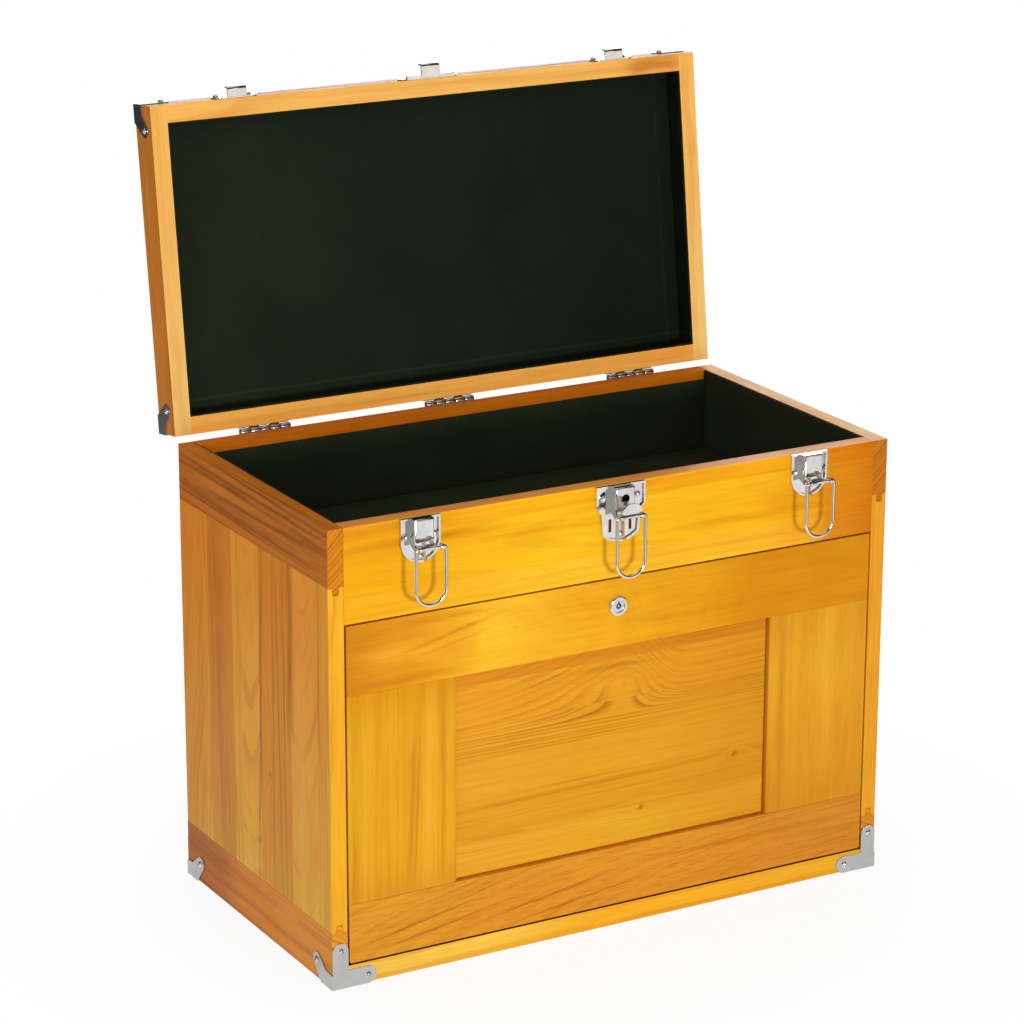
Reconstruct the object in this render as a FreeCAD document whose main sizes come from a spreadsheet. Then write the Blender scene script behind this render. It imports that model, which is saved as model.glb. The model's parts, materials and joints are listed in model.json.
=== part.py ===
"""Machinist's wooden tool chest, as a parametric FreeCAD document, in millimetres.

The chest stands on its four corner brackets. X runs to the right, Y to the back and Z up. The origin is
at the centre of the footprint, on the surface that the chest stands on. The lid is drawn shut and then
turned open about its hinge line. The front panel is in place and the drawers behind it are shut.
"""
import FreeCAD, Part
import Sketcher
import math
import os
import re

SIZES = {
    # case
    "case_width": 510.0,
    "case_depth": 267.0,
    "case_height": 375.0,
    "side_board": 13.5,
    "side_top_rail": 46.0,
    "side_bottom_rail": 46.0,
    "tongue_width": 5.4,
    "tongue_length": 6.0,
    "glue_gap": 0.2,
    "apron_board": 14.0,
    "apron_height": 77.0,
    "sill_height": 17.0,
    "back_board": 12.7,
    "bottom_board": 12.0,
    "bottom_top": 27.0,
    "seat_gap": 0.3,
    # till
    "till_depth": 69.0,
    "till_board": 8.0,
    "lining": 2.0,
    "back_strip": 8.0,
    "back_notch": 5.5,
    # drawers
    "drawer_setback": 29.0,
    "shelf_board": 7.0,
    "divider_board": 7.0,
    "row_one": 50.0,
    "row_two": 54.0,
    "row_three": 64.0,
    "drawer_side_gap": 0.8,
    "drawer_top_gap": 1.4,
    "drawer_back_gap": 6.0,
    "drawer_front": 10.0,
    "drawer_side": 6.0,
    "drawer_bottom": 4.0,
    "drawer_bottom_lift": 3.0,
    "drawer_side_drop": 5.0,
    "knob_radius": 6.5,
    "knob_length": 9.0,
    "knob_neck": 3.2,
    "knob_stem": 4.05,
    "knob_swell": 5.4,
    "knob_shoulder": 6.75,
    "knob_inset": 135.0,
    # front panel
    "panel_gap": 1.5,
    "panel_setback": 0.4,
    "panel_corner": 2.0,
    "panel_top_rail": 56.5,
    "panel_bottom_rail": 49.0,
    "panel_stile": 95.0,
    "field_recess": 4.5,
    "field_board": 6.5,
    "field_tongue": 6.0,
    "field_margin": 1.2,
    "field_step": 2.5,
    "stile_bevel": 5.5,
    "stile_bevel_drop": 0.8,
    "pin_radius": 2.0,
    "pin_reach": 7.0,
    "pin_height": 22.5,
    "pin_inset": 65.0,
    "pin_play": 0.1,
    # panel lock
    "cam_lock_drop": 22.5,
    "cam_rim_radius": 8.2,
    "cam_rim_proud": 2.6,
    "cam_rim_round": 1.17,
    "cam_plug_proud": 1.56,
    "cam_post_proud": 1.3,
    "cam_barrel_radius": 6.5,
    "cam_plug_radius": 5.2,
    "cam_nut_radius": 9.5,
    "cam_nut_height": 1.8,
    "cam_sheet": 1.8,
    "cam_width": 12.0,
    "cam_reach": 26.0,
    "cam_notch_width": 34.0,
    "cam_notch_depth": 8.0,
    "turn_play": 0.05,
    "keyway_radius": 2.4,
    "keyway_slot": 1.6,
    "keyway_slot_high": 3.9,
    "keyway_depth": 4.5,
    "keyway_post_radius": 0.8,
    # lid
    "lid_height": 30.0,
    "lid_frame": 14.5,
    "lid_tilt": 97.2,
    "lid_board": 6.0,
    "lid_recess": 3.0,
    "lid_tongue": 6.0,
    "lid_lining": 1.4,
    "lid_lining_drop": 0.6,
    # hinges
    "hinge_inset": 80.0,
    "hinge_middle": -3.0,
    "hinge_width": 45.0,
    "hinge_leaf": 20.0,
    "hinge_sheet": 1.2,
    "hinge_offset": 4.2,
    "hinge_knuckle_radius": 2.9,
    "hinge_web_out": 2.61,
    "hinge_web_in": 0.87,
    "hinge_web_low": 0.6,
    "hinge_pin_radius": 1.4,
    "hinge_pin_play": 0.05,
    "hinge_leaf_gap": 1.6,
    "knuckle_gap": 0.15,
    "hinge_screw_inset": 8.0,
    "hinge_screw_drop": 12.5,
    # sheet corner brackets
    "bracket_sheet": 0.9,
    "bracket_lift": 0.6,
    "bracket_arm": 13.6,
    "bracket_arm_high": 31.6,
    "bracket_arm_long": 30.6,
    "bracket_lobe_in": 25.3,
    "bracket_lobe_up": 17.0,
    "bracket_lobe_radius": 6.2,
    "bracket_fold": 19.0,
    "bracket_fold_high": 12.5,
    "bracket_waist": 0.55,
    "bracket_waist_rise": 1.0,
    "lid_bracket_long": 20.0,
    "lid_bracket_arm": 13.0,
    "lid_lobe_in": 20.0,
    "lid_lobe_down": 17.8,
    "lid_lobe_radius": 5.8,
    "lid_fold": 15.0,
    # screws
    "head_radius": 2.7,
    "head_height": 1.9,
    "shank_radius": 1.3,
    "shank_length": 7.0,
    "shank_play": 0.1,
    "cross_width": 0.7,
    "cross_length": 3.4,
    "cross_depth": 1.2,
    # latches, measured from the rim and the front face
    "latch_inset": 78.0,
    "latch_width": 34.0,
    "latch_height": 36.0,
    "latch_floor": 1.0,
    "latch_edge": 2.8,
    "latch_edge_wall": 1.5,
    "rim_gap": 0.3,
    "box_width": 17.2,
    "box_proud": 9.0,
    "box_drop": 18.7,
    "box_round": 1.2,
    "ear_sheet": 1.2,
    "ear_round": 1.9,
    "lever_out": 8.2,
    "lever_drop": 22.5,
    "lever_tilt": 11.7,
    "lever_reach": 10.8,
    "lever_width": 13.6,
    "lever_sheet": 1.2,
    "lever_barrel_radius": 1.7,
    "lever_pin_radius": 1.0,
    "lever_play": 0.05,
    "lever_side_gap": 0.3,
    "eye_radius": 2.6,
    "lever_bar_radius": 1.612,
    "eye_inner": 8.2,
    "eye_outer": 10.3,
    "eye_play": 0.1,
    "bail_wire_radius": 1.5,
    "bail_spread": 25.6,
    "bail_length": 45.6,
    "bail_bend": 1.9,
    "bail_tip_gap": 0.2,
    "latch_rivet_side": 12.3,
    "latch_rivet_drop": 15.3,
    "latch_rivet_low": 31.5,
    # middle lock latch
    "lock_width": 44.4,
    "lock_shoulder": 18.0,
    "lock_neck": 35.2,
    "lock_neck_drop": 23.0,
    "lock_foot": 32.4,
    "lock_foot_drop": 41.0,
    "lock_height": 46.6,
    "lock_floor": 1.8,
    "lock_edge": 3.4,
    "lock_edge_wall": 1.6,
    "lock_box_top": 1.0,
    "lock_box_proud": 10.0,
    "keyhole_radius": 3.5,
    "keyhole_drop": 10.2,
    "keyhole_depth": 6.5,
    "keyhole_slot": 3.0,
    "keyhole_slot_drop": 16.0,
    "rotor_recess": 4.6,
    "rotor_post_set": 0.4,
    "rotor_post_radius": 0.9,
    "lock_slot_in": 9.2,
    "lock_slot_width": 2.6,
    "lock_slot_top": 28.0,
    "lock_slot_bottom": 38.5,
    "lock_pocket": 7.0,
    "lock_pocket_margin": 0.6,
    "lock_rivet_side": 15.4,
    "lock_rivet_drop": 10.6,
    "lock_rivet_low": 41.0,
    "lock_lever_drop": 24.5,
    "lock_bail_length": 49.5,
    "tab_half_width": 9.4,
    "tab_length": 11.5,
    "tab_neck": 3.0,
    "tab_neck_half": 7.8,
    "tab_tilt": 62.0,
    # strikes on the lid's front
    "strike_sheet": 1.2,
    "strike_width": 38.0,
    "strike_low": 1.6,
    "strike_high": 16.5,
    "strike_corner": 5.0,
    "strike_tongue_width": 17.0,
    "strike_tongue_low": 2.0,
    "strike_tongue_out": 9.6,
    "strike_tip_high": 7.0,
    "strike_screw_in": 14.4,
    "strike_screw_high": 12.6,
    "lock_strike_width": 54.0,
    "lock_strike_corner": 7.2,
    "lock_strike_tongue_out": 12.5,
    "lock_strike_screw_in": 16.4,
    "lock_strike_screw_high": 10.4,
    "lock_strike_flange_in": 8.8,
    "lock_strike_flange": 13.6,
    "lock_strike_flange_out": 3.4,
    # carrying handle on the lid
    "handle_spread": 170.0,
    "strap_width": 22.0,
    "strap_thick": 5.0,
    "strap_rise": 27.0,
    "strap_flat": 20.0,
    "strap_slope": 34.0,
    "loop_sheet": 1.4,
    "loop_length": 14.0,
    "loop_plate_width": 46.0,
    "loop_plate_length": 22.0,
    "loop_play": 0.2,
    "loop_screw_in": 17.5,
    "short_shank": 3.6,
}

TINY = 1e-6
NEAR = 0.01
DOC = FreeCAD.newDocument("ToolChest")
SHEET = DOC.addObject("Spreadsheet::Sheet", "Sizes")
for row, (alias, number) in enumerate(SIZES.items(), start=1):
    SHEET.set(f"A{row}", alias)
    SHEET.set(f"B{row}", str(number))
    SHEET.setAlias(f"B{row}", alias)
DOC.recompute()

NODES = []

# Places that follow from the sizes, as expressions
INNER = "(case_width / 2 - side_board)"
FRONT = "(-case_depth / 2)"
BACK = "(case_depth / 2)"
RIM = "case_height"
FOOT = "bracket_sheet"
BEHIND_APRON = f"({FRONT} + apron_board)"
BEFORE_BACK = f"({BACK} - back_board)"
APRON_LOW = f"({RIM} - apron_height)"
SILL_TOP = "(bracket_sheet + sill_height)"
TILL_TOP = f"({RIM} - till_depth)"
TILL_WOOD_TOP = f"({TILL_TOP} - lining)"
TILL_LOW = f"({TILL_WOOD_TOP} - till_board)"
DRAWER_FACE = f"({FRONT} + drawer_setback)"
DRAWER_END = f"({BEFORE_BACK} - drawer_back_gap)"
LID_TOP = f"({RIM} + lid_height)"
LID_BOARD_TOP = f"({LID_TOP} - lid_recess)"
LID_BOARD_LOW = f"({LID_BOARD_TOP} - lid_board)"
LID_INNER = "(case_width / 2 - lid_frame)"
LID_INNER_DEPTH = "(case_depth / 2 - lid_frame)"
HINGE_LINE = f"({BACK} + hinge_offset)"
PANEL_HALF = f"({INNER} - panel_gap)"
PANEL_TOP = f"({APRON_LOW} - panel_gap)"
PANEL_LOW = f"({SILL_TOP} + panel_gap)"
PANEL_BACK = f"({BEHIND_APRON} - panel_setback)"
FIELD_HALF = "(case_width / 2 - side_board - panel_gap - panel_stile)"
FIELD_TOP = f"({PANEL_TOP} - panel_top_rail)"
FIELD_LOW = f"({PANEL_LOW} + panel_bottom_rail)"
FIELD_FACE = f"({FRONT} + field_recess)"
FIELD_BACK = f"({FIELD_FACE} + field_board)"
CAM_HEIGHT = f"({PANEL_TOP} - cam_lock_drop)"
LATCH_SIDE = "(case_width / 2 - latch_inset)"
PIN_SIDE = "(case_width / 2 - pin_inset)"
LID_PLACE = (
    "placement(vector(0; 0; 0); rotation(vector(1; 0; 0); -lid_tilt); "
    f"vector(0; {HINGE_LINE}; {RIM}))"
)


def full(expression):
    """The expression with every size's name pointed at its cell."""
    def cell(match):
        word = match.group(0)
        return f"Sizes.{word}" if word in SIZES else word

    return re.sub(r"[a-z_]+", cell, str(expression))


def value(expression):
    """The expression worked out now, as a plain number."""
    return float(SHEET.evalExpression(full(expression)))


def bind(thing, name, expression):
    """Bind one property of an object to the sheet."""
    thing.setExpression(name, full(expression))


def place(thing, at=None, in_lid=False):
    """Put an object at a point, or turn it open with the lid."""
    if in_lid:
        bind(thing, "Placement", LID_PLACE)
    elif at:
        for axis, expression in zip("xyz", at):
            bind(thing, f".Placement.Base.{axis}", expression)


def keep(thing, label):
    """Name an object as one sub-part of the chest."""
    thing.Label = label
    NODES.append(thing)
    return thing


def new_body(name, at=None, in_lid=False):
    body = DOC.addObject("PartDesign::Body", name)
    place(body, at, in_lid)
    return body


def new_sketch(body, plane, offset, turned=None):
    """A sketch on an origin plane of its own body, moved along the plane's normal."""
    sketch = body.newObject("Sketcher::SketchObject", f"{body.Name}_sketch")
    for feature in body.Origin.OriginFeatures:
        if feature.Role == f"{plane}_Plane":
            sketch.AttachmentSupport = (feature, "")
    sketch.MapMode = "FlatFace"
    if turned:
        bind(sketch, "AttachmentOffset", turned)
    else:
        bind(sketch, ".AttachmentOffset.Base.z", offset)
    return sketch


def pin_point(sketch, edge, end, x, y):
    """Hold one point of a sketch at bound coordinates."""
    for kind, axis, expression in (("DistanceX", -2, x), ("DistanceY", -1, y)):
        number = value(expression)
        if abs(number) < TINY:
            sketch.addConstraint(Sketcher.Constraint("PointOnObject", edge, end, axis))
        else:
            index = sketch.addConstraint(Sketcher.Constraint(kind, -1, 1, edge, end, number))
            bind(sketch, f"Constraints[{index}]", expression)


def arc_between(start, end, radius, clockwise):
    """An arc of up to half a turn from start to end."""
    chord = end - start
    middle = (start + end) * 0.5
    height = math.sqrt(max(radius**2 - (chord.Length / 2) ** 2, 0.0))
    left = FreeCAD.Vector(-chord.y, chord.x, 0).normalize()
    centre = middle + left * (-height if clockwise else height)
    bulge = (middle - centre).normalize() if height > TINY else left * (1 if clockwise else -1)
    return Part.Arc(start, centre + bulge * radius, end)


def draw(sketch, points, closed=True):
    """Draw an outline. A point is (x, y), or (x, y, radius, "cw" or "ccw") where an arc leads to it."""
    spots = [FreeCAD.Vector(value(point[0]), value(point[1]), 0) for point in points]
    count = len(points)
    edges = []
    for index in range(count if closed else count - 1):
        following = (index + 1) % count
        target = points[following]
        if len(target) == 2:
            shape = Part.LineSegment(spots[index], spots[following])
            edges.append((sketch.addGeometry(shape), 1, 2))
        else:
            turn = target[3] == "cw"
            shape = arc_between(spots[index], spots[following], value(target[2]), turn)
            edge = sketch.addGeometry(shape)
            edges.append((edge, 2, 1) if turn else (edge, 1, 2))
            radius = sketch.addConstraint(Sketcher.Constraint("Radius", edge, value(target[2])))
            bind(sketch, f"Constraints[{radius}]", target[2])
    for index, (edge, first, last) in enumerate(edges):
        if closed or index + 1 < len(edges):
            following, start, _ = edges[(index + 1) % len(edges)]
            sketch.addConstraint(Sketcher.Constraint("Coincident", edge, last, following, start))
        pin_point(sketch, edge, first, points[index][0], points[index][1])
    if not closed:
        pin_point(sketch, edges[-1][0], edges[-1][2], points[-1][0], points[-1][1])
    return edges


def draw_circle(sketch, x, y, radius):
    centre = FreeCAD.Vector(value(x), value(y), 0)
    edge = sketch.addGeometry(Part.Circle(centre, FreeCAD.Vector(0, 0, 1), value(radius)))
    index = sketch.addConstraint(Sketcher.Constraint("Radius", edge, value(radius)))
    bind(sketch, f"Constraints[{index}]", radius)
    pin_point(sketch, edge, 3, x, y)


def rectangle(x_low, x_high, y_low, y_high):
    return [(x_low, y_low), (x_high, y_low), (x_high, y_high), (x_low, y_high)]


def extrude(body, plane, outlines, low, high, cut=False, turned=None):
    """Add or cut a prism between two levels across an origin plane.

    The normal of the XZ plane points to the front, so a prism there starts at its higher Y.
    """
    offset = f"-({high})" if plane == "XZ" else low
    sketch = new_sketch(body, plane, offset, turned)
    for outline in outlines:
        if outline[0] == "circle":
            draw_circle(sketch, *outline[1:])
        else:
            draw(sketch, outline)
    kind = "PartDesign::Pocket" if cut else "PartDesign::Pad"
    before = 0.0
    if cut:
        DOC.recompute()
        before = body.Shape.Volume
    feature = body.newObject(kind, f"{body.Name}_{'pocket' if cut else 'pad'}")
    feature.Profile = sketch
    bind(feature, "Length", f"({high}) - ({low})")
    if cut:
        feature.Reversed = True
        DOC.recompute()
        if body.Shape.Volume > before - TINY:
            raise RuntimeError(f"{feature.Name} cuts nothing from {body.Name}")
    return feature


def revolve(body, plane, outline, axis):
    """Turn an outline about one of its sketch's own axes, "H_Axis" or "V_Axis"."""
    sketch = new_sketch(body, plane, "0")
    draw(sketch, outline)
    feature = body.newObject("PartDesign::Revolution", f"{body.Name}_turned")
    feature.Profile = sketch
    feature.ReferenceAxis = (sketch, [axis])
    feature.Angle = 360
    return feature


def board(name, x_range, y_range, z_range, at=None, in_lid=False):
    """A plain board between bound limits."""
    body = new_body(name, at, in_lid)
    extrude(body, "XY", [rectangle(*x_range, *y_range)], *z_range)
    return body


def round_edges(body, radius, wanted):
    """Fillet the edges of a body's tip whose middle point is wanted."""
    DOC.recompute()
    base = body.Tip
    names = []
    for number, edge in enumerate(base.Shape.Edges, start=1):
        middle = edge.valueAt((edge.FirstParameter + edge.LastParameter) / 2)
        if wanted(middle):
            names.append(f"Edge{number}")
    feature = body.newObject("PartDesign::Fillet", f"{body.Name}_fillet")
    feature.Base = (base, names)
    bind(feature, "Radius", radius)


def group(label, members, in_lid=False):
    """Several separate solids kept as one sub-part."""
    compound = DOC.addObject("Part::Compound", label)
    compound.Links = members
    place(compound, in_lid=in_lid)
    return keep(compound, label)


def mirrored(source, name, normal):
    """The other hand of an object, across a plane through the origin."""
    mirror = DOC.addObject("Part::Mirroring", name)
    mirror.Source = source
    mirror.Normal = normal
    return mirror


def drilled(label, base, seats, in_lid=False):
    """A sub-part with a pilot hole for each fastener that enters it."""
    cut = DOC.addObject("Part::Cut", label)
    cut.Base = base
    cut.Tool = seats
    place(cut, in_lid=in_lid)
    return keep(cut, label)


X_MIRROR = FreeCAD.Vector(1, 0, 0)
Y_MIRROR = FreeCAD.Vector(0, 1, 0)
OUTWARD = {
    "front": FreeCAD.Vector(0, -1, 0),
    "back": FreeCAD.Vector(0, 1, 0),
    "left": FreeCAD.Vector(-1, 0, 0),
    "right": FreeCAD.Vector(1, 0, 0),
    "up": FreeCAD.Vector(0, 0, 1),
}


# ---------------------------------------------------------------- fasteners

def screw_form(name, shank):
    """A round-headed screw that points down, with the underside of its head at Z = 0."""
    body = new_body(name)
    outline = [
        ("0", f"-({shank})"),
        ("shank_radius", f"-({shank}) + shank_radius"),
        ("shank_radius", "0"),
        ("head_radius", "0"),
        ("0", "head_height", "(head_radius ^ 2 + head_height ^ 2) / (2 * head_height)", "ccw"),
    ]
    revolve(body, "XZ", outline, "V_Axis")
    for half_x, half_y in (("cross_length", "cross_width"), ("cross_width", "cross_length")):
        slot = rectangle(f"-{half_x} / 2", f"{half_x} / 2", f"-{half_y} / 2", f"{half_y} / 2")
        extrude(body, "XY", [slot], "head_height - cross_depth", "head_height + 1", cut=True)
    return body


def rivet_form(name):
    """A plain domed rivet, set as the screws are."""
    body = new_body(name)
    outline = [
        ("0", "-shank_length"),
        ("shank_radius", "-shank_length"),
        ("shank_radius", "0"),
        ("head_radius", "0"),
        ("0", "head_height", "(head_radius ^ 2 + head_height ^ 2) / (2 * head_height)", "ccw"),
    ]
    revolve(body, "XZ", outline, "V_Axis")
    return body


def seat(x, y, z, side, sheet="0"):
    """Where a fastener sits: a point on a face, the way it faces, and the sheet under its head."""
    out = OUTWARD[side]
    lift = value(sheet)
    point = FreeCAD.Vector(value(x), value(y), value(z)) + out * lift
    turn = FreeCAD.Rotation(FreeCAD.Vector(0, 0, 1), out)
    return FreeCAD.Placement(point, turn)


def set_out(label, form, seats, in_lid=False):
    """One sub-part that holds a copy of a fastener at each seat."""
    DOC.recompute()
    feature = DOC.addObject("Part::Feature", label)
    feature.Shape = Part.makeCompound([form.Shape.transformed(spot.toMatrix()) for spot in seats])
    place(feature, in_lid=in_lid)
    return keep(feature, label)


def pilots(name, seats, length="shank_length"):
    """The holes for a set of fasteners, as one cutting tool."""
    radius = value("shank_radius + shank_play")
    depth = value(length) + value("shank_play")
    over = value("hinge_sheet")
    drill = Part.makeCylinder(radius, depth + over, FreeCAD.Vector(0, 0, -depth))
    tool = DOC.addObject("Part::Feature", name)
    tool.Shape = Part.makeCompound([drill.transformed(spot.toMatrix()) for spot in seats])
    return tool


def corner_seats(x, y, z, side):
    """The same seat at both hands of the chest."""
    other = {"left": "right"}.get(side, side)
    return [seat(x, y, z, side, "bracket_sheet"), seat(f"-({x})", y, z, other, "bracket_sheet")]


def bracket_seats():
    seats = []
    for face, side in ((FRONT, "front"), (BACK, "back")):
        inward = 1 if side == "front" else -1
        seats += corner_seats("-case_width / 2 + bracket_arm / 2", face, "bracket_arm_high", side)
        seats += corner_seats("-case_width / 2 + bracket_arm_long", face, "bracket_arm / 2 + bracket_lift", side)
        lobe = f"{face} + {inward} * bracket_lobe_in"
        seats += corner_seats("-case_width / 2", lobe, "bracket_lobe_up", "left")
    return seats


def lid_bracket_seats():
    seats = []
    for face, side in ((FRONT, "front"), (BACK, "back")):
        inward = 1 if side == "front" else -1
        arm_height = f"{LID_TOP} - lid_bracket_arm / 2"
        seats += corner_seats("-case_width / 2 + lid_bracket_long", face, arm_height, side)
        lobe = f"{face} + {inward} * lid_lobe_in"
        seats += corner_seats("-case_width / 2", lobe, f"{LID_TOP} - lid_lobe_down", "left")
    return seats


HINGES = ("hinge_inset - case_width / 2", "hinge_middle", "case_width / 2 - hinge_inset")


def hinge_seats(upward):
    seats = []
    for middle in HINGES:
        for hand in (-1, 1):
            x = f"{middle} + {hand} * (hinge_width / 2 - hinge_screw_inset)"
            z = f"{RIM} + {upward} * hinge_screw_drop"
            seats.append(seat(x, BACK, z, "back", "hinge_sheet"))
    return seats


def rivet_seats():
    seats = []
    for middle in (f"-{LATCH_SIDE}", LATCH_SIDE):
        low = f"{RIM} - latch_rivet_low"
        seats.append(seat(middle, FRONT, low, "front", "latch_floor"))
        for hand in (-1, 1):
            x = f"{middle} + {hand} * latch_rivet_side"
            seats.append(seat(x, FRONT, f"{RIM} - latch_rivet_drop", "front", "latch_floor"))
    seats.append(seat("0", FRONT, f"{RIM} - lock_rivet_low", "front", "lock_floor"))
    for hand in (-1, 1):
        x = f"{hand} * lock_rivet_side"
        seats.append(seat(x, FRONT, f"{RIM} - lock_rivet_drop", "front", "lock_floor"))
    return seats


def strike_seats():
    seats = []
    for middle, inward, high in (
        (f"-{LATCH_SIDE}", "strike_screw_in", "strike_screw_high"),
        ("0", "lock_strike_screw_in", "lock_strike_screw_high"),
        (LATCH_SIDE, "strike_screw_in", "strike_screw_high"),
    ):
        for hand in (-1, 1):
            x = f"{middle} + {hand} * {inward}"
            seats.append(seat(x, FRONT, f"{RIM} + {high}", "front", "strike_sheet"))
    return seats


def handle_seats():
    seats = []
    for end in (-1, 1):
        for hand in (-1, 1):
            x = f"{end} * handle_spread / 2"
            y = f"{hand} * loop_screw_in"
            seats.append(seat(x, y, LID_BOARD_TOP, "up", "loop_sheet"))
    return seats


SCREW = screw_form("screw_form", "shank_length")
SHORT_SCREW = screw_form("short_screw_form", "short_shank")
RIVET = rivet_form("rivet_form")
CASE_SEATS = bracket_seats() + hinge_seats(-1)
LID_SEATS = lid_bracket_seats() + hinge_seats(1) + strike_seats()
RIVET_SEATS = rivet_seats()
CASE_PILOTS = pilots("case_pilots", CASE_SEATS + RIVET_SEATS)
LID_PILOTS = pilots("lid_pilots", LID_SEATS)
HANDLE_PILOTS = pilots("handle_pilots", handle_seats(), "short_shank")


# ---------------------------------------------------------------- case

def side_parts(name, hand):
    """One side: a board of upright grain, tongued into a rail at its top and one at its foot."""
    outer = f"{hand} * case_width / 2"
    inner = f"{hand} * {INNER}"
    tongue_out = f"{hand} * (case_width / 2 - (side_board - tongue_width) / 2)"
    tongue_in = f"{hand} * (case_width / 2 - (side_board + tongue_width) / 2)"
    top_seam = f"{RIM} - side_top_rail"
    low_seam = f"{FOOT} + side_bottom_rail"
    top_rail = new_body(f"{name}_top_rail_blank")
    outline = [
        (outer, RIM), (outer, top_seam), (tongue_out, top_seam),
        (tongue_out, f"{top_seam} - tongue_length"), (tongue_in, f"{top_seam} - tongue_length"),
        (tongue_in, top_seam), (inner, top_seam), (inner, RIM),
    ]
    extrude(top_rail, "XZ", [outline], FRONT, BACK)
    keep(top_rail, f"{name}_top_rail")
    low_rail = new_body(f"{name}_bottom_rail_blank")
    outline = [
        (outer, FOOT), (outer, low_seam), (tongue_out, low_seam),
        (tongue_out, f"{low_seam} + tongue_length"), (tongue_in, f"{low_seam} + tongue_length"),
        (tongue_in, low_seam), (inner, low_seam), (inner, FOOT),
    ]
    extrude(low_rail, "XZ", [outline], FRONT, BACK)
    drilled(f"{name}_bottom_rail", low_rail, CASE_PILOTS)
    middle = new_body(f"{name}_board_blank")
    top_groove = f"{top_seam} - tongue_length - glue_gap"
    low_groove = f"{low_seam} + tongue_length + glue_gap"
    outline = [
        (outer, low_seam), (outer, top_seam), (tongue_out, top_seam), (tongue_out, top_groove),
        (tongue_in, top_groove), (tongue_in, top_seam), (inner, top_seam), (inner, low_seam),
        (tongue_in, low_seam), (tongue_in, low_groove), (tongue_out, low_groove),
        (tongue_out, low_seam),
    ]
    extrude(middle, "XZ", [outline], FRONT, BACK)
    keep(middle, f"{name}_board")


side_parts("left", -1)
side_parts("right", 1)

ACROSS = (f"-{INNER}", INNER)
apron = board("front_apron_blank", ACROSS, (FRONT, BEHIND_APRON), (APRON_LOW, RIM))
for hand in (-1, 1):
    half = "(lock_slot_width / 2 + lock_pocket_margin)"
    pocket = rectangle(f"{hand} * lock_slot_in - {half}", f"{hand} * lock_slot_in + {half}",
                       f"{RIM} - lock_slot_bottom - lock_pocket_margin",
                       f"{RIM} - lock_slot_top + lock_pocket_margin")
    extrude(apron, "XZ", [pocket], FRONT, f"{FRONT} + lock_pocket", cut=True)
drilled("front_apron", apron, CASE_PILOTS)
sill = board("front_sill_blank", ACROSS, (FRONT, BEHIND_APRON), (FOOT, SILL_TOP))
drilled("front_sill", sill, CASE_PILOTS)
back = board("back_board_blank", ACROSS, (BEFORE_BACK, BACK), (FOOT, RIM))
drilled("back_board", back, CASE_PILOTS)

bottom = board("bottom_board", ACROSS, (BEHIND_APRON, BEFORE_BACK),
               ("bottom_top - bottom_board", "bottom_top"))
PIN_HOLES = [
    ("circle", f"{hand} * {PIN_SIDE}", "pin_height", "pin_radius + pin_play") for hand in (-1, 1)
]
extrude(bottom, "XZ", PIN_HOLES, BEHIND_APRON, f"{BEHIND_APRON} + pin_reach + pin_play", cut=True)
keep(bottom, "bottom_board")

# The till floor is lipped along its front edge in two lengths, with the cam's notch between them.
LIPPING = (BEHIND_APRON, f"{BEHIND_APRON} + cam_notch_depth")
TILL_HEIGHTS = (TILL_LOW, TILL_WOOD_TOP)
group("till_floor", [
    board("till_floor_board", ACROSS, (LIPPING[1], BEFORE_BACK), TILL_HEIGHTS),
    board("till_floor_left_lip", (f"-{INNER}", "-cam_notch_width / 2"), LIPPING, TILL_HEIGHTS),
    board("till_floor_right_lip", ("cam_notch_width / 2", INNER), LIPPING, TILL_HEIGHTS),
])


def till_lining():
    """The felt that lines the till: its floor and its four walls, each a sheet of its own."""
    front_face = f"{BEHIND_APRON} + lining"
    back_face = f"{BEFORE_BACK} - lining"
    side_face = f"{INNER} - lining"
    floor = board("felt_floor", ACROSS, (BEHIND_APRON, BEFORE_BACK), (TILL_WOOD_TOP, TILL_TOP))
    front = board("felt_front", ACROSS, (BEHIND_APRON, front_face), (TILL_TOP, RIM))
    left = board("felt_left", (f"-{INNER}", f"-({side_face})"), (front_face, BEFORE_BACK),
                 (TILL_TOP, RIM))
    right = board("felt_right", (side_face, INNER), (front_face, BEFORE_BACK), (TILL_TOP, RIM))
    rear = new_body("felt_back")
    strip = f"{RIM} - back_strip"
    outline = [
        (f"-({side_face})", TILL_TOP), (side_face, TILL_TOP), (side_face, RIM),
        (f"{INNER} - back_notch", RIM), (f"{INNER} - back_notch", strip),
        (f"-({side_face})", strip),
    ]
    extrude(rear, "XZ", [outline], back_face, BEFORE_BACK)
    group("till_lining", [floor, front, left, right, rear])


till_lining()

SHELF_DEPTH = (DRAWER_FACE, BEFORE_BACK)
ROW_ONE_LOW = f"({TILL_LOW} - row_one)"
ROW_TWO_TOP = f"({ROW_ONE_LOW} - shelf_board)"
ROW_TWO_LOW = f"({ROW_TWO_TOP} - row_two)"
ROW_THREE_TOP = f"({ROW_TWO_LOW} - shelf_board)"
ROW_THREE_LOW = f"({ROW_THREE_TOP} - row_three)"
ROW_FOUR_TOP = f"({ROW_THREE_LOW} - shelf_board)"
ROW_FOUR_LOW = "bottom_top"
group("drawer_shelves", [
    board("shelf_one", ACROSS, SHELF_DEPTH, (ROW_TWO_TOP, ROW_ONE_LOW)),
    board("shelf_two", ACROSS, SHELF_DEPTH, (ROW_THREE_TOP, ROW_TWO_LOW)),
    board("shelf_three", ACROSS, SHELF_DEPTH, (ROW_FOUR_TOP, ROW_THREE_LOW)),
])
BAY = f"((2 * {INNER} - 2 * divider_board) / 3)"
DIVIDER_FACE = f"({BAY} / 2)"
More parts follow.
